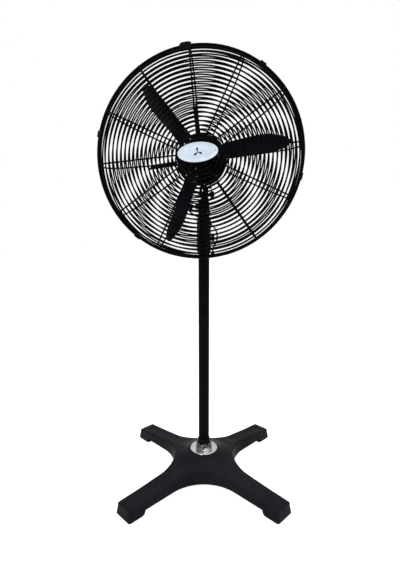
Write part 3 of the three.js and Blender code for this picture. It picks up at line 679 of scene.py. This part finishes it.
def lobed(lobes, radius, lobe, count=96):
    turns = [2 * math.pi * i / count for i in range(count)]
    return [polar(radius + lobe * math.cos(lobes * turn), turn) for turn in turns]


def add_height_lock():
    mesh = bmesh.new()
    prism(mesh, lobed(3, 12, 3), -60, -47, LOCK_PLACE, bevel=2.5, steps=4)
    neck = [(0, -48), (9.5, -48), (7, -44), (0, -44)]
    lathe(mesh, rounded(neck, 0.8, closed=False), 48, LOCK_PLACE)
    new_piece("height_lock_fine", mesh, FLOOR, PLASTIC, "height_lock", ["height_lock_knob"])

    mesh = bmesh.new()
    thread = [(0, -45), (4.0, -45)]
    for turn in range(12):
        x = -44 + turn * 2.1
        thread += [(4.0, x), (3.6, x + 1.0)]
    thread += [(4.0, -18.5), (3.2, -17.8), (0, -17.8)]
    lathe(mesh, thread, 32, LOCK_PLACE)
    new_piece("height_lock_thread", mesh, FLOOR, STEEL, "height_lock")


# --- mast, neck and control box
NECK_TOP = 1180.0
TILT_PIVOT = at(0, 0, JOINTS["head_tilt"]["pos_m"][2] / MM)


def add_mast():
    turned("inner_tube", oblong(15.5, 760, 17.5, 1172), FLOOR, SHADED_CHROME, "mast")

    mesh = bmesh.new()
    flange = [(0, 1132), (15.2, 1132), (15.2, 1172.3), (24, 1172.3), (24, 1178.5), (22.5, NECK_TOP),
              (17, 1180.8), (0, 1180.8)]
    lathe(mesh, rounded(flange, 1.0, closed=False))
    tongue = [(-13, -19.5), (13, -19.5)] + arc((0, 0), 13, 0, math.pi, 24)
    prism(mesh, tongue, -12, 12, TILT_PIVOT @ SIDEWAYS, bevel=1.5)
    stand_in("neck_socket", mesh, FLOOR, PAINT, "mast")

    mesh = bmesh.new()
    place = TILT_PIVOT @ ALONG_X
    lathe(mesh, [(0, -21), (5, -21), (5, 33.3), (4.3, 34), (0, 34)], 32, place)
    prism(mesh, rounded(hexagon(15), 0.8), -24, -18.3, place, bevel=0.8)
    stand_in("tilt_bolt", mesh, FLOOR, STEEL, "mast")

    mesh = bmesh.new()
    block(mesh, (-14, 26.7, 990), (14, 29.7, 1183.3), bevel=0.8)
    block(mesh, (-14, 13.5, 1180.3), (14, 29.5, 1183.3), bevel=0.8)
    stand_in("box_bracket", mesh, FLOOR, PAINT, "mast")


def add_tilt_knob():
    mesh = bmesh.new()
    place = TILT_PIVOT @ ALONG_X
    prism(mesh, lobed(5, 13, 2), 27, 40.5, place, bevel=3.0, steps=4)
    lathe(mesh, rounded([(5.4, 21), (8.5, 21), (9.5, 28), (5.4, 28)], 0.8), 48, place)
    button = [(0, 38), (8, 38), (8, 41.6), (6.5, 42), (0, 42)]
    lathe(mesh, rounded(button, 0.8, closed=False), 48, place)
    stand_in("tilt_knob", mesh, FLOOR, PLASTIC, "tilt_clamp")


BOX_HALF = 29.0
BOX_LOW = 952.0
BOX_HIGH = 1118.0
BOX_FRONT = 30.0
BOX_BACK = 72.0
BOX_MIDDLE = (BOX_FRONT + BOX_BACK) / 2
KNOB_HEIGHT = JOINTS["speed_turn"]["pos_m"][2] / MM
BEHIND = Matrix(((1, 0, 0, 0), (0, 0, -1, 0), (0, 1, 0, 0), (0, 0, 0, 1)))


def box_outline(inset, corner):
    half, low, high = BOX_HALF - inset, BOX_LOW + inset, BOX_HIGH - inset
    return rounded(oblong(-half, low, half, high), corner, steps=10)


def add_control_box():
    mesh = bmesh.new()
    prism(mesh, box_outline(0, 27), -BOX_BACK + 0.4, -BOX_FRONT, BEHIND, bevel=4.0, steps=4)
    for rib in range(3):
        z = 1080 + 9 * rib
        block(mesh, (-BOX_HALF - 0.8, 40, z), (-BOX_HALF + 2, 62, z + 3), bevel=0.7)
        block(mesh, (BOX_HALF - 2, 40, z), (BOX_HALF + 0.8, 62, z + 3), bevel=0.7)
    stand_in("box_shell", mesh, FLOOR, PLASTIC, "mast")

    mesh = bmesh.new()
    prism(mesh, box_outline(0, 27), -BOX_BACK - 3, -BOX_BACK - 0.3, BEHIND, bevel=1.2)
    prism(mesh, box_outline(9, 20), -BOX_BACK - 4.0, -BOX_BACK - 1, BEHIND, bevel=0.9)
    stand_in("box_cover", mesh, FLOOR, PLASTIC, "mast")

    mesh = bmesh.new()
    for side in (-1, 1):
        for z in (BOX_LOW + 11, BOX_HIGH - 11):
            screw(mesh, at(side * 16, BOX_BACK + 2.6, z) @ ALONG_Y, 2.6, 1.8)
    for z in (1010, 1095):
        screw(mesh, at(0, 26.9, z) @ TO_FRONT, 3.0, 2.0)
    new_piece("box_screws", mesh, FLOOR, STEEL, "mast")

    mesh = bmesh.new()
    for mark in range(4):
        turn = math.radians(-45 * mark + 67.5)
        place = at(BOX_HALF, BOX_MIDDLE, KNOB_HEIGHT) @ ALONG_X \
            @ Matrix.Rotation(turn, 4, "Z")
        block(mesh, (20.0, -0.7, -0.5), (20.9, 0.7, 0.5), place, bevel=0.2)
    new_piece("dial_marks", mesh, FLOOR, WHITE, "mast")

    mesh = bmesh.new()
    block(mesh, (BOX_HALF + 0.3, BOX_MIDDLE - 8, 950), (45, BOX_MIDDLE + 8, 961), bevel=2.5)
    relief = [(0, 958), (7, 958), (7, 962)]
    for ring in range(3):
        z = 962 + ring * 2.6
        relief += [(6.6 - ring * 0.5, z), (6.6 - ring * 0.5, z + 1.3), (5.6 - ring * 0.4, z + 1.5),
                   (5.6 - ring * 0.4, z + 2.4)]
    relief += [(4.2, 970.4), (0, 970.4)]
    lathe(mesh, relief, 48, at(38, BOX_MIDDLE, 0))
    stand_in("lead_gland", mesh, FLOOR, RUBBER, "mast")

    inlet = [(3.2, 938), (5.4, 938), (6.5, 940), (6.5, 948), (9, 948), (9, 951.7), (4.6, 951.7),
             (4.6, 956), (3.2, 956)]
    turned("inlet_gland", rounded(inlet, 0.6), FLOOR, RUBBER, "mast", 48, at(-12, BOX_MIDDLE, 0))


def add_speed_knob():
    mesh = bmesh.new()
    place = at(0, BOX_MIDDLE, KNOB_HEIGHT) @ ALONG_X
    skirt = [(0, 31.5), (19, 31.5), (19, 33.5), (17.5, 37), (0, 38.5)]
    lathe(mesh, rounded(skirt, 1.0, closed=False), 96, place)
    prism(mesh, lobed(24, 13.4, 0.35, 192), 36, 43.5, place, bevel=1.2)
    lathe(mesh, oblong(0, 14, 3, 33), 32, place)
    block(mesh, (-14.5, -2.6, 38), (14.5, 2.6, 44), place, bevel=1.2)
    stand_in("speed_knob", mesh, FLOOR, PLASTIC, "speed_control")
    mesh = bmesh.new()
    block(mesh, (-13.5, -0.6, 43.7), (-6, 0.6, 44.2), place, bevel=0.15)
    new_piece("knob_pointer", mesh, FLOOR, WHITE, "speed_control")


# --- motor lead
LEAD_RADIUS = 3.25
LEAD_ROUTE = [(38, 51, 970.6), (38, 51, 980), (47, 51, 998), (54.5, 51, 1014), (56, 54, 1034),
              (51, 65, 1056), (36, 81, 1077), (8, 88, 1096), (-24, 83, 1112), (-50, 60, 1127),
              (-66, 34, 1144), (-73, 17, 1168), (-75, 7, 1192), (-75, 0, 1214), (-73, -9, 1232),
              (-66.3, -26, 1248)]


def smooth_path(points, steps):
    """Points of a smooth curve through a route, evenly many between each pair."""
    points = [Vector(p) for p in points]
    ends = [points[0] * 2 - points[1]] + points + [points[-1] * 2 - points[-2]]
    path = []
    for i in range(1, len(ends) - 2):
        p0, p1, p2, p3 = ends[i - 1:i + 3]
        for step in range(steps):
            t = step / steps
            path.append(0.5 * ((2 * p1) + (p2 - p0) * t + (2 * p0 - 5 * p1 + 4 * p2 - p3) * t ** 2
                               + (3 * p1 - p0 - 3 * p2 + p3) * t ** 3))
    path.append(points[-1])
    return path


def lead_stretch(node, path, body=None):
    mesh = bmesh.new()
    sweep(mesh, path, LEAD_RADIUS, 16)
    return stand_in(node, mesh, FLOOR, SHEATH, body)


def add_lead():
    """The lead in three stretches: up the box, across the tilt joint, across the swivel."""
    steps = 10
    path = smooth_path(LEAD_ROUTE, steps)
    middle = path[10 * steps:12 * steps + 1]
    upper = path[12 * steps:]
    lead_stretch("lead_lower", path[:10 * steps + 1], "mast")
    piece = lead_stretch("lead_middle", middle)
    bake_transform(piece)
    piece = lead_stretch("lead_upper", upper)
    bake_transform(piece)

    mesh = bmesh.new()
    exit_point = upper[-1]
    direction = (exit_point - upper[-4]).normalized()
    place = at(*exit_point) @ direction.to_track_quat("Z", "Y").to_matrix().to_4x4()
    cone = [(0, -13), (4.2, -13), (4.6, -8), (5.4, -7), (5.8, -3), (7.2, -2), (7.2, 2), (0, 2)]
    lathe(mesh, rounded(cone, 0.6, closed=False), 48, place)
    new_piece("lead_relief", mesh, FLOOR, RUBBER, "head")


# --- tilt bracket
EAR_REACH = 26
SHAFT_RISE = (Vector(JOINTS["head_swivel"]["pos_m"])
              - Vector(JOINTS["head_tilt"]["pos_m"])).length / MM


def add_tilt_bracket():
    mesh = bmesh.new()
    cheek = [(13, 24), (-13, 24)] + arc((0, 0), 13, math.pi, 2 * math.pi, 24)
    for low, high in ((-18, -12.4), (12.4, 18)):
        prism(mesh, cheek, low, high, SIDEWAYS, bevel=1.2)
        lathe(mesh, rounded(oblong(5.4, low - 0.4, 8.5, high + 0.1), 0.4), 48, ALONG_X)
    block(mesh, (-18, -14, 20), (18, 14, 29), bevel=2.2)
    block(mesh, (14, -6, 23), (32, 6, 29), bevel=1.8)
    pin = [(0, 27), (2.5, 27), (2.5, 45.4), (1.9, 46), (0, 46)]
    lathe(mesh, pin, 32, at(EAR_REACH, 0, 0))
    lathe(mesh, rounded(oblong(8.3, 24, 11.8, 29.3), 0.5), 48)
    stand_in("yoke", mesh, TILT, PAINT, "tilt_bracket")

    top = SHAFT_RISE - 16
    turned("swivel_post", [(0, 20), (8, 20), (8, top - 1), (7, top), (0, top)], TILT, STEEL,
           "tilt_bracket", 64)


# --- motor
def add_motor():
    mesh = bmesh.new()
    face = [(8, -97), (21, -97), (25, -93.5), (38, -92), (46, -92), (48, -90.5), (60, -90.5), (62, -92),
            (95, -92), (95, -87), (88, -85), (88, -66), (84, -66), (84, -81), (60, -86), (20, -86),
            (20, -78), (16.3, -78), (16.3, -91), (8, -91)]
    about_shaft(mesh, rounded(face, 1.2))
    for rib in range(12):
        spin = about_y(2 * math.pi * rib / 12)
        block(mesh, (27, -94.2, -1.4), (84, -90, 1.4), spin, bevel=0.9)
    new_piece("motor_front_fine", mesh, HEAD, PAINT, "head", ["motor_front_bell"])

    mesh = bmesh.new()
    count = 60
    fins = [polar(radius, 2 * math.pi * (i + share) / count) for i in range(count)
            for share, radius in ((0.0, 85.4), (0.2, 88.4), (0.55, 88.4), (0.75, 85.4))]
    prism(mesh, fins, 46.3, 65.7, TO_FRONT)
    new_piece("stator_fins", mesh, HEAD, PAINT, "head", ["stator"], slot="lamination")

    mesh = bmesh.new()
    back = [(84, -46), (88, -46), (88, -33), (84, -26.5), (76, -24.2), (30, -24.2), (26, -22), (8, -22),
            (8, -23.5), (16.3, -23.5), (16.3, -36), (20, -36), (20, -27), (60, -27), (84, -34)]
    about_shaft(mesh, rounded(back, 1.2))
    for rib in range(24):
        spin = about_y(2 * math.pi * (rib + 0.5) / 24)
        block(mesh, (36, -27, -1.5), (80, -22.1, 1.5), spin, bevel=0.9)
    new_piece("motor_rear_fine", mesh, HEAD, PAINT, "head", ["motor_rear_bell"])

    mesh = bmesh.new()
    for radius, count, start, size in ((31, 4, 0.4, 2.6), (54, 3, 0.9, 2.8), (80, 4, 0.78, 3.4)):
        for i in range(count):
            x, z = polar(radius, start + 2 * math.pi * i / count)
            screw(mesh, at(x, -91.6, z) @ TO_FRONT, size, 2.6)
    new_piece("motor_screws", mesh, HEAD, STEEL, "head")


CLUTCH_PLACE = at(22, 36, 0)


def add_gearbox():
    mesh = bmesh.new()
    block(mesh, (-32, -21.7, -52), (32, 58, 40), bevel=6.0, steps=5)
    lathe(mesh, rounded([(8.3, -86.5), (12.5, -86.5), (12.5, -60), (19, -50), (8.3, -50)], 1.2), 64)
    lathe(mesh, rounded([(4.4, 38), (9, 38), (8, 43.5), (4.4, 43.5)], 0.6), 48, CLUTCH_PLACE)
    for side in (-1, 1):
        for rib in range(4):
            y = 14 * rib
            low, high = sorted((side * 30, side * 33.2))
            block(mesh, (low, y, -40), (high, y + 3, 28), bevel=1.0)
    new_piece("gearbox_fine", mesh, HEAD, PAINT, "head", ["gearbox_case"])

    mesh = bmesh.new()
    plate = rounded(oblong(-32, -52, 32, 40), 9.0, steps=8)
    prism(mesh, plate, -62, -58.3, BEHIND, bevel=1.2)
    lathe(mesh, rounded([(0, 60), (20, 60), (20, 64), (17, 66), (0, 66)], 1.2, closed=False), 64,
          TO_FRONT)
    stand_in("gearbox_cover", mesh, HEAD, PAINT, "head")

    mesh = bmesh.new()
    for x, z in ((-25, -45), (25, -45), (25, 33), (-25, 33)):
        screw(mesh, at(x, 61.6, z) @ ALONG_Y, 3.2, 2.4)
    new_piece("gearbox_screws", mesh, HEAD, STEEL, "head")


def add_clutch_knob():
    mesh = bmesh.new()
    lathe(mesh, oblong(0, -6, 3.5, 52), 32, CLUTCH_PLACE)
    cap = [(0, 50), (6, 50), (9.4, 52), (10, 56), (8.6, 60), (10, 64), (9.4, 67), (7, 68), (0, 68)]
    lathe(mesh, rounded(cap, 1.5, closed=False), 64, CLUTCH_PLACE)
    stand_in("clutch_knob", mesh, HEAD, PLASTIC, "clutch")


def linkage_places():
    """The crank's axis and pin at rest, in the head's own millimetres."""
    into_head = HEAD.inverted()
    axis = into_head @ Vector(JOINTS["crank_turn"]["pos_m"])
    pin = into_head @ Vector(JOINTS["link_swing"]["pos_m"])
    return axis, pin


def add_linkage():
    axis, pin = linkage_places()
    throw = pin - axis
    throw.z = 0
    heading = math.atan2(throw.y, throw.x)
    place = at(axis.x, axis.y, 0) @ Matrix.Rotation(heading, 4, "Z")
    mesh = bmesh.new()
    prism(mesh, stadium(throw.length, 8, 6), -63, -58, place, bevel=0.9)
    lathe(mesh, [(0, -71), (2.2, -71), (2.5, -70.6), (2.5, -60), (0, -60)], 32,
          place @ at(throw.length, 0, 0))
    lathe(mesh, rounded(oblong(0, -64.4, 4.5, -61), 0.5, closed=False), 32, place)
    stand_in("crank", mesh, HEAD, STEEL, "crank_set")

    swivel = math.atan2(HEAD.col[0].y, HEAD.col[0].x)
    far = EAR_REACH * Vector((math.cos(-swivel), math.sin(-swivel), 0))
    reach = far - Vector((pin.x, pin.y, 0))
    place = at(pin.x, pin.y, 0) \
        @ Matrix.Rotation(math.atan2(reach.y, reach.x), 4, "Z")
    mesh = bmesh.new()
    prism(mesh, stadium(reach.length, 3.4, 3.4), -68.5, -65, place, bevel=0.8)
    for x in (0, reach.length):
        lathe(mesh, rounded(oblong(3, -68.9, 5.4, -64.7), 0.3), 32,
              place @ at(x, 0, 0))
    stand_in("link", mesh, HEAD, STEEL, "link_rod")


def stadium(length, first, second, steps=14):
    """A bar outline with round ends of two radii, from the origin along X."""
    return (arc((0, 0), first, math.pi / 2, 3 * math.pi / 2, steps)
            + arc((length, 0), second, -math.pi / 2, math.pi / 2, steps))


# --- rotor
BLADE_PLANE = -154.6
BLADE_THICKNESS = 2.6
BLADE_REST = math.radians(10.7)
# where the blade's sections begin to stand closer together
BLADE_FINE = 300
# radius, leading half, trailing half, pitch in degrees
BLADE_STATIONS = [(34, 22, 22, 0), (78, 25, 25, 2), (118, 33, 30, 34), (190, 38, 32, 36),
                  (250, 39, 27, 32), (290, 36, 13, 29.5), (312, 30, 2, 28.5), (325, 17, -11, 28)]


def blade_slope(index, value):
    """How fast one value changes at a station: flat up to the hub's edge and at the start."""
    if index < 2:
        return 0.0
    before = BLADE_STATIONS[index - 1]
    after = BLADE_STATIONS[min(index + 1, len(BLADE_STATIONS) - 1)]
    return (after[value] - before[value]) / (after[0] - before[0])


def blade_station(radius):
    """Leading half, trailing half and pitch, on smooth curves through the stations."""
    index = max(i for i, station in enumerate(BLADE_STATIONS[:-1]) if station[0] <= radius)
    before, after = BLADE_STATIONS[index], BLADE_STATIONS[index + 1]
    length = after[0] - before[0]
    t = (radius - before[0]) / length
    result = []
    for value in (1, 2, 3):
        start = before[value] * (1 + 2 * t) * (1 - t) ** 2 + after[value] * t * t * (3 - 2 * t)
        lean = t * (1 - t) ** 2 * blade_slope(index, value)
        lean -= t * t * (1 - t) * blade_slope(index + 1, value)
        result.append(start + lean * length)
    return result


def blade_spin(index):
    return about_y(-(BLADE_REST + index * 2 * math.pi / 3))


def add_blade(index):
    mesh = bmesh.new()
    root, tip = BLADE_STATIONS[0][0], BLADE_STATIONS[-1][0]
    radii = [root + (BLADE_FINE - root) * i / 44 for i in range(45)]
    radii += [BLADE_FINE + (tip - BLADE_FINE) * i / 16 for i in range(1, 17)]
    sections = []
    across = 14
    for radius in radii:
        lead, trail, pitch = blade_station(radius)
        turn = math.radians(pitch)
        camber = 5.0 * min(max((radius - 80) / 40, 0.0), 1.0)
        section = []
        for side in (-1, 1):
            for i in range(across + 1):
                share = i / across if side < 0 else 1 - i / across
                along = -lead + (lead + trail) * share
                middle = 2 * share - 1
                edge = max(1 - abs(middle) ** 6, 0.0) ** 0.5
                up = side * BLADE_THICKNESS / 2 * (0.25 + 0.75 * edge) - camber * (1 - middle ** 2)
                y = BLADE_PLANE - along * math.sin(turn) - up * math.cos(turn)
                z = along * math.cos(turn) - up * math.sin(turn)
                section.append(mesh.verts.new((radius, y, z)))
        sections.append(section)
    join_rings(mesh, sections)
    spin = blade_spin(index)
    stand_in(f"blade_{index + 1}", mesh, HEAD @ spin, BLADE, "rotor", smooth=55)


def add_rotor():
    for index in range(3):
        add_blade(index)

    mesh = bmesh.new()
    hub = [(6.3, -166), (19, -166), (23, -153), (76, -152), (80, -149), (80, -142), (77.5, -142),
           (77.5, -148), (22, -148), (20, -124), (6.3, -124)]
    about_shaft(mesh, rounded(hub, 1.5))
    stand_in("blade_hub", mesh, HEAD, PAINT, "rotor")

    mesh = bmesh.new()
    for blade in range(3):
        spin = blade_spin(blade)
        for x, z in ((44, 0), (68, 12), (68, -12)):
            screw(mesh, spin @ at(x, BLADE_PLANE - 1.2, z) @ TO_FRONT, 3.6, 2.6)
    new_piece("blade_rivets", mesh, HEAD, STEEL, "rotor")

    shaft = [(0, 192), (5, 192), (6, 191), (6, -44), (0, -44)]
    turned("motor_shaft", shaft, HEAD, STEEL, "rotor", 48, TO_FRONT)

    mesh = bmesh.new()
    prism(mesh, rounded(hexagon(24), 1.0), 166.5, 178.5, TO_FRONT, bevel=1.0)
    stand_in("blade_nut", mesh, HEAD, STEEL, "rotor")


# --- guards
RIM_RADIUS = 365.0
RIM_PLANE = -190.0
RIM_WIRE = 4.2
RIM_OFFSET = 4.3
SKIN_RADIUS = 362.0
RING_WIRE = 2.9
SPOKE_WIRE = 2.8
RING_PITCH = 15.0
SPOKES = 12
FRONT_DEPTH = 25.0
REAR_DEPTH = 112.0
REAR_OPENING = 101


def front_skin(radius):
    bulge = max(1 - (radius / SKIN_RADIUS) ** 4, 0.0) ** (1 / 4)
    return RIM_PLANE - RIM_OFFSET - (FRONT_DEPTH - RIM_OFFSET) * bulge


def rear_skin(radius):
    bulge = max(1 - (radius / SKIN_RADIUS) ** 3.5, 0.0) ** (1 / 3.5)
    return RIM_PLANE + RIM_OFFSET + (REAR_DEPTH - RIM_OFFSET) * bulge


def ring_radii(skin, start):
    """Ring radii a constant pitch apart along the guard's curved section."""
    radii = [start]
    radius = start
    walked = 0.0
    step = 0.02
    rim_y = skin(RIM_RADIUS)
    while abs(skin(radius) - rim_y) > RIM_WIRE + RING_WIRE + 3:
        rise = skin(radius + step) - skin(radius)
        walked += math.hypot(step, rise)
        radius += step
        if walked >= RING_PITCH:
            radii.append(radius)
            walked = 0.0
    return radii


def guard(skin, start, spoke_start, inward):
    """Rings on the outside of twelve spokes, and a thick rim wire."""
    mesh = bmesh.new()
    for radius in ring_radii(skin, start):
        hoop(mesh, radius, skin(radius), RING_WIRE)
    rim_y = skin(RIM_RADIUS)
    hoop(mesh, RIM_RADIUS - RIM_WIRE, rim_y, RIM_WIRE, 220, 12)
    reach = RIM_RADIUS - RIM_WIRE - 1
    lift = inward * (RING_WIRE + SPOKE_WIRE - 0.6)
    steps = 40
    path = []
    for i in range(steps + 1):
        share = 1 - (1 - i / steps) ** 2
        radius = spoke_start + (reach - spoke_start) * share
        path.append((radius, skin(radius) + lift * (1 - share ** 8), 0))
    path.append((reach, rim_y, 0))
    for spoke in range(SPOKES):
        sweep(mesh, path, SPOKE_WIRE, matrix=about_y(2 * math.pi * spoke / SPOKES))
    return mesh


def add_guards():
    mesh = guard(front_skin, 46, 30, 1)
    face = front_skin(0)
    plate = [(0, face - 2.5), (36, face - 2.5), (38, face - 1.5), (38, face + 1.5), (36, face + 2.5),
             (0, face + 2.5)]
    about_shaft(mesh, plate, 96)
    stand_in("front_guard", mesh, GUARD, WIRE, "head", smooth=60)

    mesh = guard(rear_skin, REAR_OPENING, REAR_OPENING - 1, -1)
    hoop(mesh, REAR_OPENING, rear_skin(REAR_OPENING), 3.0, 128, 10)
    stand_in("rear_guard", mesh, GUARD, WIRE, "head", smooth=60)


def add_straps():
    """Four flat straps with a joggle at the outer end, each with a screw at its root."""
    screws = bmesh.new()
    for index in range(4):
        spin = about_y(-(index * math.pi / 2 + math.radians(2)))
        mesh = bmesh.new()
        top = [(82, -94.8), (186, -94.8), (193, -93.6), (198, -90.0), (204, -88.6)]
        side = top + [(x, y + 2.5) for x, y in reversed(top)]
        prism(mesh, rounded(side, 1.2), -8.5, 8.5, spin)
        block(mesh, (78.5, -94.8, -8.5), (84, -92.3, 8.5), spin, bevel=1.2)
        stand_in(f"strap_{index + 1}", mesh, GUARD, PAINT, "head")
        for x, size in ((89, 4.4), (197.5, 2.6)):
            y = -94.6 if x < 150 else -90.6
            screw(screws, spin @ at(x, y, 0) @ TO_FRONT, size, 3.0)
    new_piece("strap_screws", screws, GUARD, STEEL, "head")


def rim_channel(mesh, length, wall, reach, spin):
    half = RIM_OFFSET + 3.5 + 0.6
    outer = RIM_RADIUS + 0.5
    near, far = RIM_PLANE - half, RIM_PLANE + half
    side = [(outer - reach, near - wall), (outer + wall, near - wall), (outer + wall, far + wall),
            (outer - reach, far + wall), (outer - reach, far), (outer, far), (outer, near),
            (outer - reach, near)]
    prism(mesh, rounded(side, 1.0, steps=3), -length / 2, length / 2, spin)


def add_clips():
    screws = bmesh.new()
    for index, degrees in enumerate((48, 163, 227, 342)):
        spin = about_y(-math.radians(degrees))
        mesh = bmesh.new()
        rim_channel(mesh, 22, 2.0, 11, spin)
        block(mesh, (352.5, RIM_PLANE - 12.2, -6), (358.5, RIM_PLANE - 8.2, 6), spin, bevel=1.0)
        stand_in(f"rim_clip_{index + 1}", mesh, GUARD, PAINT, "head")
        screw(screws, spin @ at(355.5, RIM_PLANE - 12, 0) @ TO_FRONT, 2.4, 1.6)
    spin = about_y(-math.radians(92))
    mesh = bmesh.new()
    rim_channel(mesh, 40, 3.0, 14, spin)
    block(mesh, (364.5, RIM_PLANE - 11, -14), (371.5, RIM_PLANE + 11, 14), spin, bevel=2.0)
    stand_in("rim_lock", mesh, GUARD, PAINT, "head")
    for z in (12, -3):
        screw(screws, spin @ at(358, RIM_PLANE - 11.3, z) @ TO_FRONT, 3.0, 2.2)
    new_piece("clip_screws", screws, GUARD, PAINT, "head")


# --- badge
BADGE_LENGTH = 145.0
BADGE_HEIGHT = 71.0
BADGE_FACE = front_skin(0) - 7.4


def ellipse(length, height, count=128):
    return [(length / 2 * x, height / 2 * y) for x, y in circle(1.0, count)]


def add_badge():
    mesh = bmesh.new()
    back = ellipse(BADGE_LENGTH, BADGE_HEIGHT)
    prism(mesh, back, -BADGE_FACE - 4.0, -BADGE_FACE - 1.4, TO_FRONT, bevel=0.6)
    new_piece("badge_backing", mesh, GUARD, PLASTIC, "head")

    mesh = bmesh.new()
    rings = []
    for inset, height in ((2.2, -2.2), (2.2, 0.0), (2.8, 0.7), (4.2, 0.8), (5.0, 0.2), (6.0, -0.2),
                          (18.0, 0.15), (33.0, 0.35)):
        outline = ellipse(BADGE_LENGTH - 2 * inset, BADGE_HEIGHT - 2 * inset)
        rings.append([mesh.verts.new((x, BADGE_FACE - height, z)) for x, z in outline])
    join_rings(mesh, rings)
    stand_in("badge", mesh, GUARD, WHITE, "head", smooth=50)

    mesh = bmesh.new()
    for x in (-60, 60):
        screw(mesh, at(x, BADGE_FACE + 0.2, 0) @ TO_FRONT, 2.6, 1.4)
    new_piece("badge_screws", mesh, GUARD, STEEL, "head")
    add_pictogram()


def add_pictogram():
    """A plain three-blade fan sign, drawn as thin raised petals round a dot."""
    mesh = bmesh.new()
    face = at(0, BADGE_FACE - 0.2, 0) @ TO_FRONT
    lathe(mesh, oblong(0, -0.6, 2.6, 0.6), 32, face)
    for petal in range(3):
        turn = math.pi / 2 + petal * 2 * math.pi / 3
        there = [math.pi * i / 24 for i in range(25)]
        walk = [(t, 4.4) for t in there] + [(t, -1.6) for t in there[-2:0:-1]]
        outline = [(4.0 + 12.0 * math.sin(t / 2) ** 2, half * math.sin(t)) for t, half in walk]
        prism(mesh, outline, -0.5, 0.6, face @ Matrix.Rotation(turn, 4, "Z"), bevel=0.15)
    new_piece("badge_sign", mesh, GUARD, PAINT, "head")


# --- studio
def add_floor():
    mesh = bmesh.new()
    bmesh.ops.create_grid(mesh, x_segments=8, y_segments=8, size=14.0)
    data = bpy.data.meshes.new("floor")
    mesh.to_mesh(data)
    mesh.free()
    pale = Shader("floor", None, specular=0.0)
    pale.tint((0.29, 0.29, 0.29), (0.31, 0.31, 0.31), 1.2)
    pale.bsdf.inputs["Roughness"].default_value = 0.6
    pale.bsdf.inputs["Emission Color"].default_value = (1.0, 1.0, 1.0, 1.0)
    pale.bsdf.inputs["Emission Strength"].default_value = 0.85
    data.materials.append(pale.material)
    floor = show("floor", data)


def add_light(name, place, target, size, power, color=(1, 1, 1)):
    data = bpy.data.lights.new(name, "AREA")
    data.shape = "RECTANGLE"
    data.size, data.size_y = size
    data.energy = power
    data.color = color
    light = show(name, data)
    light.location = place
    direction = Vector(target) - Vector(place)
    light.rotation_euler = direction.to_track_quat("-Z", "Y").to_euler()


def add_studio():
    add_floor()
    world = bpy.data.worlds.new("studio")
    world.use_nodes = True
    background = world.node_tree.nodes["Background"]
    background.inputs["Color"].default_value = (1.0, 1.0, 1.0, 1.0)
    background.inputs["Strength"].default_value = 1.0
    bpy.context.scene.world = world
    bpy.context.scene.view_settings.view_transform = "Standard"
    add_light("key", (-2.0, -2.8, 3.0), (0, 0, 0.9), (1.6, 1.6), 160)
    add_light("fill", (2.6, -2.2, 2.2), (0, 0, 0.8), (1.2, 2.4), 70)
    add_light("top", (0.2, 0.4, 3.6), (0, 0, 0.2), (2.5, 2.5), 60)
    sun = bpy.data.lights.new("daylight", "SUN")
    sun.energy = 1.0
    sun.angle = math.radians(60)
    daylight = show("daylight", sun)
    daylight.rotation_euler = (math.radians(12), math.radians(-8), 0)


# --- everything together
def dress_cad_nodes():
    """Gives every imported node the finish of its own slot; the replaced ones are hidden."""
    slots = {entry["node"]: entry["material_slot"] for entry in frame["record"]["subparts"]}
    for name, node in frame["nodes"].items():
        material = SLOT_MATERIAL[slots[name]]
        node.data.materials.clear()
        node.data.materials.append(material)


dress_cad_nodes()
add_base_shell()
add_foot_pads()
add_pole()
add_height_lock()
add_mast()
add_tilt_knob()
add_control_box()
add_speed_knob()
add_lead()
add_tilt_bracket()
add_motor()
add_gearbox()
add_clutch_knob()
add_linkage()
add_rotor()
add_guards()
add_straps()
add_clips()
add_badge()
add_studio()
